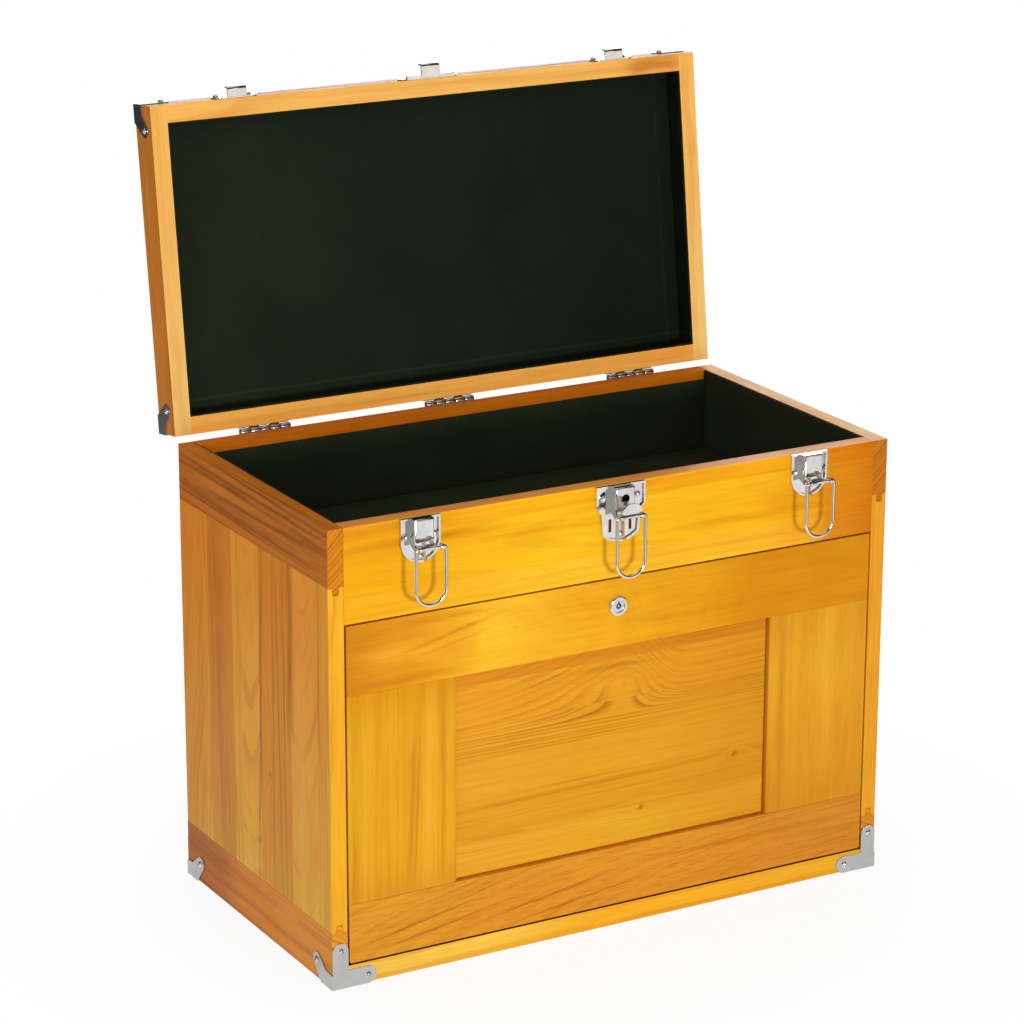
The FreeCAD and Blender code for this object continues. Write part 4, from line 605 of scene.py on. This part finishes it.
board(
    "front_apron", seed=1, patch=0.25, wander=3, facets=[FRONT_RIM], end=ENDS["front"],
    strips=[Strip(299, (252, 192, 56), heart=420, lines=0.2, bands=0.15, **APRON),
            Strip(318.5, (251, 190, 38), heart=341, depth=50, taper=0.05, ring=3.4, lines=0.22,
                  bands=0.2, **APRON),
            Strip(362, (250, 180, 34), heart=290, lines=0.22, bands=0.2, **APRON)],
    wash=[(-255, (248, 178, 34)), (-60, (252, 196, 50)), (120, (250, 190, 50)),
          (178, (246, 176, 46)), (205, (222, 138, 34)), (255, (200, 114, 26))],
    stains=[(-190, 355, 78, 4, (206, 122, 26), 0.75),
            (150, 330, 100, 3.6, (218, 132, 24), 0.65, 0.01),
            (195, 342, 62, 8, (222, 138, 28), 0.5, 0.02), (-205, 369, 60, 5, (206, 126, 34), 0.65),
            (55, 369, 62, 5, (232, 146, 28), 0.7), (-60, 346, 60, 1.6, (226, 142, 26), 0.5, -0.03),
            (20, 311, 120, 2, (236, 158, 34), 0.5, 0.01)])
board(
    "front_sill", seed=2, patch=0.4, facets=[SHADED_SILL_TOP],
    strips=[Strip(0, (246, 182, 58), (222, 150, 40), FRONT_LINE, heart=60, lines=0.3)],
    # the wash is paler and creamier towards the left end: painted highlight
    wash=[(-255, (255, 214, 96)), (-120, (254, 206, 82)), (0, (252, 184, 48)),
          (255, (238, 178, 50))])
board(
    "back_board", seed=3, facets=[RIM, BACK_FACE],
    strips=[Strip(0, (248, 186, 70), (230, 152, 44), FRONT_LINE, heart=80, taper=0.2),
            Strip(92, (244, 178, 60), (226, 146, 40), FRONT_LINE, heart=220, rise=0.02),
            Strip(188, (250, 190, 74), (232, 156, 46), FRONT_LINE, heart=240, taper=-0.25),
            Strip(286, (244, 180, 64), (224, 146, 40), FRONT_LINE, heart=420)],
    knots=[(-88, 246, 7), (142, 66, 6)])
board(
    "left_board", seed=4, **SIDE_BOARD, facets=[LEFT_FRONT], knots=[(145, -27, 4.5)],
    stains=[(190, -115, 150, 1.2, (150, 88, 34), 0.6), (190, -127, 150, 1.2, (168, 102, 40), 0.5),
            (290, -67, 95, 4, (136, 76, 30), 0.8, 0.01), (190, -55, 150, 1.6, (140, 80, 32), 0.75),
            (190, -45, 150, 1.8, (146, 84, 34), 0.7, 0.02),
            (190, -35, 150, 1.6, (140, 80, 32), 0.7, -0.02),
            (190, -12, 150, 1.8, (134, 74, 30), 0.8, -0.045), (90, -84, 70, 9, (212, 148, 76), 0.6),
            (190, 60, 150, 9, (150, 88, 46), 0.55, 0.02), (250, 76, 90, 4, (152, 92, 50), 0.5)])
board(
    "right_board", seed=5, **SIDE_BOARD, facets=[RIGHT_FRONT], knots=[(210, 40, 5)],
    stains=[(190, -52, 150, 3, (134, 76, 30), 0.8, 0.01),
            (150, 12, 120, 4, (146, 84, 34), 0.7, -0.02)])
board(
    "panel_top_rail", seed=10, wander=3, patch=0.25,
    strips=[Strip(240, (246, 182, 42), (222, 148, 30), (200, 122, 24), heart=262,
                  depth=76, taper=-0.35, ring=4, lines=0.12, bands=0.16)],
    wash=[(-245, (212, 136, 30)), (-190, (228, 154, 36)), (-120, (254, 194, 52)),
          (-20, (242, 174, 38)), (60, (232, 164, 32)), (140, (218, 144, 24)),
          (245, (212, 140, 28))],
    stains=[(-140, 264, 14, 22, (222, 142, 30), 0.55),
            (-196, 268, 34, 9, (252, 190, 60), 0.55, 0.05),
            (-152, 276, 40, 1.6, (206, 124, 28), 0.7, 0.22),
            (-150, 268, 30, 1.2, (212, 130, 30), 0.5, 0.2),
            (-186, 246, 46, 3, (206, 124, 28), 0.75),
            (-160, 291, 40, 3.2, (208, 126, 28), 0.7, -0.02), (20, 281, 90, 3, (230, 152, 28), 0.6),
            (120, 258, 90, 3, (206, 128, 20), 0.5, 0.01)])
board(
    "panel_left_stile", along="Z", seed=11, wander=3, patch=0.3,
    strips=[Strip(-250, (232, 168, 40), (214, 144, 32), (192, 118, 28), heart=-330,
                  ring=7, lines=0.18, bands=0.3)],
    wash=[(60, (222, 152, 42)), (110, (234, 170, 42)), (200, (232, 168, 40)),
          (245, (222, 154, 32))],
    stains=[(140, -184, 60, 2.2, (200, 124, 26), 0.85, 0.045),
            (132, -180, 50, 1, (180, 104, 24), 0.7, 0.045),
            (160, -156, 90, 2.4, (204, 128, 32), 0.65),
            (150, -169, 80, 5, (246, 182, 64), 0.6, 0.02), (150, -224, 80, 6, (240, 176, 56), 0.45),
            (120, -205, 60, 2.4, (216, 142, 34), 0.5, -0.03),
            (90, -236, 30, 3, (206, 134, 36), 0.5)])
board(
    "panel_right_stile", along="Z", seed=12, wander=3, patch=0.3,
    strips=[Strip(140, (230, 165, 44), (210, 140, 38), (186, 112, 30), heart=330,
                  ring=7, lines=0.18, bands=0.3)],
    wash=[(60, (216, 144, 40)), (120, (225, 157, 42)), (190, (230, 167, 46)),
          (245, (220, 155, 40))],
    stains=[(160, 157, 90, 5, (202, 130, 36), 0.65), (105, 220, 34, 4, (208, 134, 38), 0.55, 0.16),
            (190, 205, 60, 8, (244, 182, 64), 0.4)])
board(
    "panel_field", seed=13, wander=0.8, patch=0.2, even=True,
    strips=[Strip(60, (238, 180, 50), (222, 156, 40), (204, 134, 34), heart=-60, depth=40,
                  ring=4.4, lines=0.45, bands=0.2),
            Strip(99, (232, 170, 44), (216, 148, 36), (188, 116, 28), heart=180, lines=0.55,
                  bands=0.3, rise=0.01),
            Strip(132, (234, 172, 47), (222, 154, 38), (204, 132, 32), heart=300, depth=90,
                  ring=9, lines=0.15, bands=0.2),
            Strip(164, (234, 170, 45), (218, 148, 34), (176, 104, 26), heart=60, depth=30,
                  ring=2.6, lines=0.95, bands=0.1, rise=-0.01),
            Strip(193, (238, 170, 45), (220, 144, 34), (172, 96, 26), heart=60, depth=0,
                  ring=6.2, lines=0.85, bands=0.3),
            Strip(228, (228, 152, 40), (206, 128, 30), (172, 98, 28), heart=60, depth=0,
                  ring=4.2, lines=0.7, bands=0.3)],
    wash=[(-150, (236, 172, 52)), (0, (230, 170, 46)), (145, (220, 156, 42))],
    knots=[(28, 97.5, 5.5), (117, 127, 5)],
    bend=(180, 208, [(-150, -7), (-100, -1), (-50, 9), (-15, 22), (8, 30), (24, 26), (44, 2),
                     (62, -10), (95, -10), (145, -8)]),
    stains=[(0, 222, 26, 2.6, (168, 98, 28), 0.5), (-110, 99, 30, 1.6, (180, 110, 30), 0.5),
            (60, 99.5, 60, 1.4, (196, 124, 34), 0.5)])
board(
    "panel_bottom_rail", seed=14, wander=3.4, fibre=0.14, pores=0.3,
    strips=[Strip(16, (226, 156, 48), (208, 134, 40), (166, 96, 28), depth=70, taper=0.16,
                  ring=2.8, lines=0.42, bands=0.25)],
    wash=[(-245, (226, 156, 50)), (0, (226, 153, 48)), (245, (212, 138, 48))],
    stains=[(-175, 42, 46, 1.1, (160, 90, 26), 0.8, 0.19),
            (-160, 34, 46, 1, (160, 90, 26), 0.75, 0.17),
            (-60, 40, 60, 1.2, (162, 92, 26), 0.7, 0.15),
            (-40, 30, 60, 1, (162, 92, 26), 0.7, 0.13), (120, 52, 90, 2, (172, 102, 30), 0.5)])
board(
    "lid_panel", through="Z", seed=17, lid=True,
    strips=[Strip(-140, heart=-240, **PLAIN), Strip(-48, heart=-10, taper=0.09, **PLAIN),
            Strip(52, heart=240, rise=0.02, **PLAIN)], knots=[(-120, 66, 6)])
board(
    "lid_stiles", along="Y", through="Z", seed=15, lid=True, patch=0.3, facets=[LID_SIDE, LID_EDGE],
    strips=[Strip(-260, heart=-420, **LID_WOOD), Strip(0, heart=420, **LID_WOOD)],
    # the wash grows paler and whiter towards the hinge: painted sheen
    wash=[(-135, (255, 191, 96)), (0, (255, 194, 106)), (135, (255, 206, 122))])
board(
    "lid_rails", through="Z", seed=16, lid=True, patch=0.3, facets=[LID_EDGE],
    strips=[Strip(-140, heart=-300, **LID_WOOD), Strip(0, heart=300, **LIFTED_LOW_RAIL)],
    wash=[(-255, (254, 188, 96)), (150, (255, 192, 100)), (255, (252, 184, 92))],
    stains=[(216, -127, 28, 9, (202, 116, 42), 0.85), (30, -128, 120, 2, (230, 156, 66), 0.5),
            (-90, 128, 120, 2, (226, 150, 62), 0.5)])
board("till_floor", through="Z", seed=18, strips=[Strip(-140, heart=40, **PLAIN)])
board("bottom_board", through="Z", seed=19, strips=[Strip(-140, heart=-60, **PLAIN)])
board("drawer_shelves", through="Z", seed=20, strips=[Strip(-140, heart=60, **PLAIN)])
board(
    "drawer_dividers", along="Z", through="X", seed=21, strips=[Strip(-140, heart=60, **PLAIN)])
for number, hand in enumerate(("left", "right")):
    board(
        f"{hand}_top_rail", seed=6 + number, **SIDE_RAIL, wander=4, fibre=0.2, end=ENDS[hand],
        facets=[SIDE_RIM if hand == "left" else RIGHT_RIM_GLARE],
        strips=[Strip(300, heart=470, rise=0.02, **RAIL)],
        stains=[(0, 366, 140, 1.8, (92, 48, 20), 0.8, 0.01),
                (-30, 352, 110, 2, (96, 52, 22), 0.75, -0.02),
                (20, 341, 130, 1.8, (92, 50, 22), 0.75, 0.02),
                (40, 358, 60, 3, (186, 116, 58), 0.5), (-60, 334, 70, 2.6, (178, 108, 52), 0.5)])
    board(
        f"{hand}_bottom_rail", seed=8 + number, **SIDE_RAIL, wander=3, fibre=0.16,
        end=FOOT_ENDS[hand],
        strips=[Strip(-5, (194, 120, 54), (168, 98, 42), (120, 66, 30), heart=-60, ring=6,
                      bands=0.4, lines=0.4)],
        wash=[(-140, (200, 126, 56)), (20, (190, 116, 52)), (70, (166, 98, 50)),
              (140, (152, 92, 54))],
        stains=[(97, 33, 40, 9, (126, 72, 40), 0.7), (-57, 35, 20, 4, (212, 144, 78), 0.5)])
for number in range(1, DRAWERS + 1):
    board(
        f"drawer_{number}_box", seed=21 + number, patch=0.3,
        strips=[Strip(0, heart=150 + 30 * number, taper=0.1, **PLAIN)])


# ---- finishing the CAD pieces

SHARP = math.radians(40)   # an edge that turns by more than this is eased
WELD_REACH = 0.00001
WOOD_EASE, METAL_EASE, FELT_EASE = 0.5, 0.12, 0.35   # how wide their edges are eased, in mm
# (name, colour, roughness, how much that varies, scratches, colour of the duller film, dents)
METALS = {
    "nickel": ("nickel_plate", (0.90, 0.89, 0.87), 0.05, 0.05, 0.004, (0.66, 0.65, 0.63), 0.02),
    "bracket_steel":
        ("bracket_plate", (0.56, 0.55, 0.53), 0.28, 0.08, 0.012, (0.43, 0.42, 0.40), 0.02),
    "plated_steel":
        ("screw_plate", (0.86, 0.84, 0.80), 0.13, 0.08, 0.008, (0.52, 0.50, 0.47), 0.0),
    "lid_bracket":
        ("lid_bracket_plate", (0.52, 0.51, 0.50), 0.24, 0.08, 0.012, (0.30, 0.30, 0.30), 0.02),
    "hinge": ("hinge_plate", (0.62, 0.60, 0.57), 0.18, 0.10, 0.012, (0.40, 0.38, 0.35), 0.0),
    # the lock's rotor is near black: painted shade, so that its keyhole looks deep
    "core": ("dark_core", (0.015, 0.015, 0.015), 0.5, 0.10, 0.01, (0.012, 0.012, 0.012), 0.0),
    "rivet": ("rivet_plate", (0.90, 0.88, 0.85), 0.24, 0.06, 0.004, (0.80, 0.78, 0.74), 0.0),
}
# the nodes that have another metal than their material slot says
OWN_METALS = {"lid_brackets": "lid_bracket", "hinge_case_leaves": "hinge", "hinge_pins": "hinge",
              "hinge_lid_leaves": "hinge", "lock_rotor": "core", "latch_rivets": "rivet",
              "panel_lock_cam": "plated_steel"}


def ease(piece, width, segments):
    """Rounds a piece's sharp edges. width is in mm."""
    bevel = piece.modifiers.new("Edges", "BEVEL")
    bevel.width = width * MM
    bevel.segments = segments
    bevel.limit_method = "ANGLE"
    bevel.angle_limit = SHARP
    return bevel


def dress(node, material, edge):
    """Gives a CAD piece its finish and eases its edges."""
    piece = NODES[node]
    piece.data.materials.clear()
    piece.data.materials.append(material)
    weld = piece.modifiers.new("Weld", "WELD")
    weld.merge_threshold = WELD_REACH
    ease(piece, edge, 2).harden_normals = True


def dress_chest():
    """Gives every board its wood and every piece of metal its plating."""
    for node, look in WOODS.items():
        low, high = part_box(node)
        axis = AXES[look.get("through", "Y")]
        middle = 0.0 if look.get("lid") else (low[axis] + high[axis]) / 2 / MM
        dress(node, wood("wood_" + node, middle=middle, **look), WOOD_EASE)
    plates = {key: metal(*row) for key, row in METALS.items()}
    for row in frame["record"]["subparts"]:
        if row["material_slot"] in METALS:
            finish = plates[OWN_METALS.get(row["node"], row["material_slot"])]
            dress(row["node"], finish, METAL_EASE)


# ---- felt and leather

def lid_open(point):
    """A point given with the lid shut, moved to where it is at rest."""
    return HINGE + Matrix.Rotation(-LID_TILT, 3, "X") @ (Vector(point) - HINGE)


def mesh_of(name, build):
    """The mesh of what was built."""
    mesh = bpy.data.meshes.new(name)
    build.to_mesh(mesh)
    build.free()
    return mesh


def add(name, data):
    """Puts a mesh, a lamp or a camera in the scene."""
    piece = bpy.data.objects.new(name, data)
    bpy.context.scene.collection.objects.link(piece)
    return piece


def aim(name, data, place, way, roll=0.0):
    """Puts a lamp or a camera in its place and turns it that way."""
    holder = add(name, data)
    holder.location = place
    holder.rotation_mode = "QUATERNION"
    turn = Matrix.Rotation(roll, 4, "Z").to_quaternion()
    holder.rotation_quaternion = way.to_track_quat("-Z", "Y") @ turn
    return holder


def add_smooth(name, build, finish, body):
    """Puts what was built in the scene, with its finish, to ride on a body."""
    mesh = mesh_of(name, build)
    for face in mesh.polygons:
        face.use_smooth = True
    mesh.materials.append(finish)
    piece = add(name, mesh)
    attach(piece, body)
    return piece


FELT_GRID = 7 * MM                 # how far apart the points of its face are
FELT_DIP, FELT_WAVE = 0.12, 0.28   # how far its face lies back and how that varies, in mm
FELT_HILLS = 45.0                  # how many hills its face has in a metre
TINY = 1e-6


def felt_sheet(name, low, high, thin, rests_on, finish, stands_for, lid=False):
    """A glued sheet of felt in a box of space, in mm: rounded edges and a slightly uneven face.

    thin is the axis of its thickness. A sheet of the lid is given with the lid shut.
    """
    low, high = Vector(low) * MM, Vector(high) * MM
    size = high - low
    middle = (low + high) / 2
    wide, tall = [axis for axis in range(3) if axis != thin]
    columns, rows = (max(2, round(size[axis] / FELT_GRID)) for axis in (wide, tall))
    build = bmesh.new()

    def point(level, i, j):
        spot = Vector((0, 0, 0))
        spot[wide] = low[wide] + size[wide] * i / columns
        spot[tall] = low[tall] + size[tall] * j / rows
        spot[thin] = level
        return build.verts.new(spot)

    layers = [[[point(level, i, j) for j in range(rows + 1)] for i in range(columns + 1)]
              for level in (low[thin], high[thin])]
    under, over = layers
    for i in range(columns):
        for j in range(rows):
            for grid in layers:
                corners = (grid[i][j], grid[i + 1][j], grid[i + 1][j + 1], grid[i][j + 1])
                build.faces.new(corners if grid is over else reversed(corners))
    for i in range(columns):
        for j in (0, rows):
            build.faces.new((under[i][j], under[i + 1][j], over[i + 1][j], over[i][j]))
    for j in range(rows):
        for i in (0, columns):
            build.faces.new((under[i][j], under[i][j + 1], over[i][j + 1], over[i][j]))
    bmesh.ops.recalc_face_normals(build, faces=build.faces)
    for vert in build.verts:
        if all(low[axis] + TINY < vert.co[axis] < high[axis] - TINY for axis in (wide, tall)):
            inward = 1 if vert.co[thin] < middle[thin] else -1
            dip = FELT_DIP + FELT_WAVE * noise.noise(vert.co * FELT_HILLS)
            vert.co[thin] += inward * max(dip, 0.0) * MM
        if lid:
            vert.co = lid_open(vert.co)
    piece = add_smooth(name, build, finish, "lid" if lid else "case")
    ease(piece, FELT_EASE, 3)
    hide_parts(stands_for)


# sheets of felt: (name, low corner, high corner, axis of its thickness, what it rests on), in mm
TILL_FELT = [
    ("till_felt_floor", (-241.5, -119.5, 304.0), (241.5, 120.8, 306.0), 2, "till_floor"),
    ("till_felt_front", (-241.5, -119.5, 306.0), (241.5, -117.5, 374.4), 1, "front_apron"),
    ("till_felt_left", (-241.5, -117.5, 306.0), (-239.5, 120.8, 374.4), 0, "left_top_rail"),
    ("till_felt_right", (239.5, -117.5, 306.0), (241.5, 120.8, 374.4), 0, "right_top_rail"),
    ("till_felt_back", (-239.5, 118.8, 306.0), (239.5, 120.8, 367.0), 1, "back_board"),
]
LID_FELT = [
    ("lid_felt_top", (-240.5, -119.0, 394.6), (240.5, 119.0, 396.0), 2, "lid_panel"),
    ("lid_felt_front", (-240.5, -119.0, 375.6), (240.5, -117.6, 394.6), 1, "lid_rails"),
    ("lid_felt_back", (-240.5, 117.6, 375.6), (240.5, 119.0, 394.6), 1, "lid_rails"),
    ("lid_felt_left", (-240.5, -117.6, 375.6), (-239.1, 117.6, 394.6), 0, "lid_stiles"),
    ("lid_felt_right", (239.1, -117.6, 375.6), (240.5, 117.6, 394.6), 0, "lid_stiles"),
]


def line_felt():
    """The till and the lid are lined with felt, one sheet on the floor and one on each wall."""
    till = felt("till_felt", colour(39, 45, 31), colour(47, 54, 38))
    for row in TILL_FELT:
        felt_sheet(*row, till, "till_lining")
    cover = felt("lid_felt", colour(24, 30, 19), colour(30, 37, 25), lid=True)
    for row in LID_FELT:
        felt_sheet(*row, cover, "lid_lining", lid=True)


# the strap, in mm: underside at its ends, how far it rises, its thickness and half its width
STRAP_REST, STRAP_RISE, STRAP_THICK, STRAP_HALF = 403.6, 27.0, 5.0, 11.0
# how far from its middle it ends, starts to climb and is level again
STRAP_END, STRAP_FOOT, STRAP_CREST = 95.0, 76.0, 38.0
STRAP_SIDES, STRAP_RUNS = 28, 76   # points round the strap and steps along it
STRAP_TIP = 7   # how much of each end is rounded, in mm
SIDE_POWER, FACE_POWER = 0.45, 0.62   # how square the strap's section is
GROOVE_DEEP, GROOVE_WIDE = 0.35, 0.8   # the groove in which the stitches lie
STRAP_WIDTH, STRAP_DEPTH = 0.985, 0.97   # shares of the size, so that it stays in the solid's
SOFTNESS = 0.012   # how uneven its edges are
STITCH_ROW = 8.4   # from the strap's middle to each row of stitches
STITCHES, STITCH_REACH = 40, 84.0   # in each row, and how far it reaches from the middle
STITCH_HALF = (1.5, 0.36, 0.34)   # half of a stitch's length, width and height
STITCH_BOW, STITCH_SLANT = 0.14, 0.25
STITCH_LIFT = 2.05   # above the strap's middle line


def strap_middle(x):
    """The strap's middle line, in mm above the foot: flat in the loops, then up to a grip."""
    climb = min(max((STRAP_FOOT - abs(x)) / (STRAP_FOOT - STRAP_CREST), 0.0), 1.0)
    return STRAP_REST + STRAP_THICK / 2 + STRAP_RISE * climb * climb * (3 - 2 * climb)


def strap_slope(x):
    """How steeply the strap climbs, in mm for each mm along it."""
    return strap_middle(x + 0.5) - strap_middle(x - 0.5)


def strap():
    """Stiff leather with a crowned face and rounded ends."""
    build = bmesh.new()
    section = []
    for step in range(STRAP_SIDES):
        turn = 2 * math.pi * step / STRAP_SIDES
        cosine, sine = math.cos(turn), math.sin(turn)
        across = math.copysign(abs(cosine) ** SIDE_POWER, cosine) * STRAP_HALF
        up = math.copysign(abs(sine) ** FACE_POWER, sine) * STRAP_THICK / 2
        groove = math.exp(-((abs(across) - STITCH_ROW) / GROOVE_WIDE) ** 2) * GROOVE_DEEP
        section.append((across, up - math.copysign(groove, up)))
    rings = []
    for run in range(STRAP_RUNS + 1):
        x = -STRAP_END + 2 * STRAP_END * run / STRAP_RUNS
        past = max(abs(x) - STRAP_END + STRAP_TIP, 0.0) / STRAP_TIP
        tip = math.sqrt(max(1 - past ** 2, 0.02))
        slope = strap_slope(x)
        lean = math.hypot(1, slope)
        ring = []
        for across, up in section:
            soft = 1 + SOFTNESS * noise.noise(Vector((x * 0.05, across * 0.1, up)))
            spot = (x - up * slope / lean, across * tip * soft * STRAP_WIDTH,
                    strap_middle(x) + up / lean * STRAP_DEPTH)
            ring.append(build.verts.new(lid_open(Vector(spot) * MM)))
        rings.append(ring)
    for first, second in zip(rings, rings[1:]):
        for step in range(STRAP_SIDES):
            after = (step + 1) % STRAP_SIDES
            build.faces.new((first[step], second[step], second[after], first[after]))
    build.faces.new(rings[0])
    build.faces.new(reversed(rings[-1]))
    bmesh.ops.recalc_face_normals(build, faces=build.faces)
    piece = add_smooth("strap", build, leather("strap_leather"), "lid")
    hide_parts("handle_strap")


def strap_stitches():
    """A row of slanted stitches along each edge of the strap."""
    build = bmesh.new()
    length, width, height = STITCH_HALF
    for row in (-STITCH_ROW, STITCH_ROW):
        for number in range(STITCHES):
            x = -STITCH_REACH + 2 * STITCH_REACH * number / (STITCHES - 1)
            slope = strap_slope(x)
            lift = strap_middle(x) + STITCH_LIFT * math.hypot(1, slope)
            lean = Matrix.Rotation(-math.atan(slope), 3, "Y")
            stitch = bmesh.ops.create_icosphere(build, subdivisions=2, radius=1.0)["verts"]
            for vert in stitch:
                bend = Vector((vert.co.x * length, vert.co.y * width,
                               vert.co.z * height - STITCH_BOW * vert.co.x ** 2))
                bend.y += STITCH_SLANT * vert.co.x
                vert.co = lid_open((lean @ bend + Vector((x, row, lift))) * MM)
    add_smooth("strap_stitches", build, thread("linen_thread"), "lid")


# ---- stage

FLOOR_RADIUS = 12.0
FLOOR_GREY = (0.80, 0.80, 0.80, 1)
# what the camera sees of it: its own grey and shadow near the chest, white further off
FLOOR_WHITE = (0.28, 0.48, 0.93, 1.0)
# how bright it looks in polished metal, by distance from the chest in metres,
FLOOR_SHEEN = [(0.3, 0.90), (1.3, 1.05), (2.4, 0.12), (4.5, 0.15), (6.0, 0.95), (12.0, 0.95)]
# and by bearing in degrees, as if cards stood round it. This fades in from CARD_NEAR to CARD_FAR,
# in metres
CARDS = [(-180, 0.85), (-150, 0.30), (-118, 0.42), (-95, 0.35), (-84, 0.86), (-50, 0.86),
         (-36, 0.15), (40, 0.10), (85, 0.15), (112, 0.12), (128, 0.30), (150, 0.85), (180, 0.85)]
CARD_NEAR, CARD_FAR = 0.55, 0.9
# what polished faces see above the floor: (direction, where its edge ends and begins, brightness)
WHITE_CARDS = [((0.47, 0.83, 0.34), 0.88, 0.94, 0.95), ((0, 0, 1), 0.84, 0.90, 0.80),
               ((0.47, -0.87, 0.06), 0.965, 0.985, 0.90)]
DARK_ROOM = 0.05   # what they see between the cards
EVEN_LIGHT, EVEN_TINT = 0.54, (1.0, 0.95, 0.86, 1)   # what falls on the chest from all round
WHITE = (1, 1, 1, 1)
# (name, place, what it points at, size in metres, power in watts, colour)
LAMPS = [
    ("key", (-0.05, -3.6, 0.42), (0, 0, 0.3), (0.62, 0.62), 65, (0.89, 0.93, 1.0)),
    ("side", (-3.0, -0.8, 0.9), (0, 0, 0.3), (2.2, 2.2), 15, (1, 1, 1)),
    ("sweep", (1.7, 3.0, 1.2), (0.25, 0, 0.4), (3.0, 1.5), 32, (1, 1, 1)),
]
# fitted to the straight edges of the chest
CAMERA_PLACE = Vector((-1.4002, -2.4301, 1.1896))
CAMERA_LOOK = Vector((0.47138, 0.83013, -0.29780))
CAMERA_ROLL = math.radians(0.166)
CAMERA_LENS, SENSOR_WIDTH, CLIP_END = 126.66, 36.0, 100.0


def floor():
    """A pale floor that keeps the chest's shadow and shows a studio in polished metal."""
    build = bmesh.new()
    bmesh.ops.create_circle(build, cap_ends=True, segments=96, radius=FLOOR_RADIUS)
    ground = add("floor", mesh_of("floor", build))
    ground.location = (0, 0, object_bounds()[0].z)
    paint = Paint("floor", roughness=0.9, specular=0.0)
    paint.set("Base Color", FLOOR_GREY)
    away = paint.vector("LENGTH", paint.place())
    white = paint.reach(away, *FLOOR_WHITE)
    mirrored = paint.along(away, FLOOR_SHEEN)
    parts = paint.node("SeparateXYZ", [paint.place()])
    bearing = paint.calc("ARCTAN2", parts.outputs["Y"], parts.outputs["X"])
    card = paint.along(bearing, [(math.radians(angle), level) for angle, level in CARDS])
    far = paint.reach(away, CARD_NEAR, CARD_FAR)
    card = paint.times(far, paint.calc("SUBTRACT", card, 1.0), 1.0)
    mirrored = paint.times(mirrored, card)
    path = paint.node("LightPath")
    to_eye = paint.calc("ADD", path.outputs["Is Camera Ray"],
                        path.outputs["Is Transmission Ray"], clamp=True)
    glow = paint.node("Emission", [WHITE, 1.0])
    sheen = paint.node("Emission", [WHITE, mirrored])
    blend = paint.node("MixShader", [paint.times(to_eye, white),
                                     paint.shader.outputs[0], glow.outputs[0]])
    last = paint.node("MixShader", [path.outputs["Is Glossy Ray"], blend.outputs[0],
                                    sheen.outputs[0]])
    paint.feed(paint.tree.nodes["Material Output"].inputs["Surface"], last.outputs[0])
    ground.data.materials.append(paint.material)
    ground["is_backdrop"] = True


def lamp(name, place, target, size, power, shade):
    """A soft rectangular lamp."""
    light = bpy.data.lights.new(name, "AREA")
    light.shape = "RECTANGLE"
    light.size, light.size_y = size
    light.energy = power
    light.color = shade
    aim(name, light, place, Vector(target) - Vector(place))


def world():
    """Even light for matt faces, white behind, and a dark room with cards for polished faces."""
    room = bpy.data.worlds.new("studio")
    room.use_nodes = True
    nodes = Nodes(room.node_tree)
    path = nodes.node("LightPath").outputs
    direction = nodes.node("TexCoord").outputs["Generated"]
    seen = None
    for toward, edge, inner, level in WHITE_CARDS:
        near = nodes.vector("DOT_PRODUCT", direction, Vector(toward).normalized())
        card = nodes.reach(near, edge, inner, DARK_ROOM, level)
        seen = nodes.calc("MAXIMUM", card, seen) if seen else card
    even = nodes.reach(path["Is Glossy Ray"], 0.0, 1.0, EVEN_LIGHT, seen)
    strength = nodes.calc("MAXIMUM", even, path["Is Camera Ray"])
    background = nodes.tree.nodes["Background"]
    nodes.feed(background.inputs["Color"], nodes.mix(path["Is Camera Ray"], EVEN_TINT, WHITE))
    nodes.feed(background.inputs["Strength"], strength)
    bpy.context.scene.world = room


def camera():
    """The camera that the chest is seen from at rest."""
    data = bpy.data.cameras.new("camera")
    data.lens = CAMERA_LENS
    data.sensor_width = SENSOR_WIDTH
    data.clip_end = CLIP_END
    bpy.context.scene.camera = aim("camera", data, CAMERA_PLACE, CAMERA_LOOK, CAMERA_ROLL)


dress_chest()
line_felt()
strap()
strap_stitches()
floor()
world()
for row in LAMPS:
    lamp(*row)
camera()
bpy.context.scene.view_settings.view_transform = "Standard"
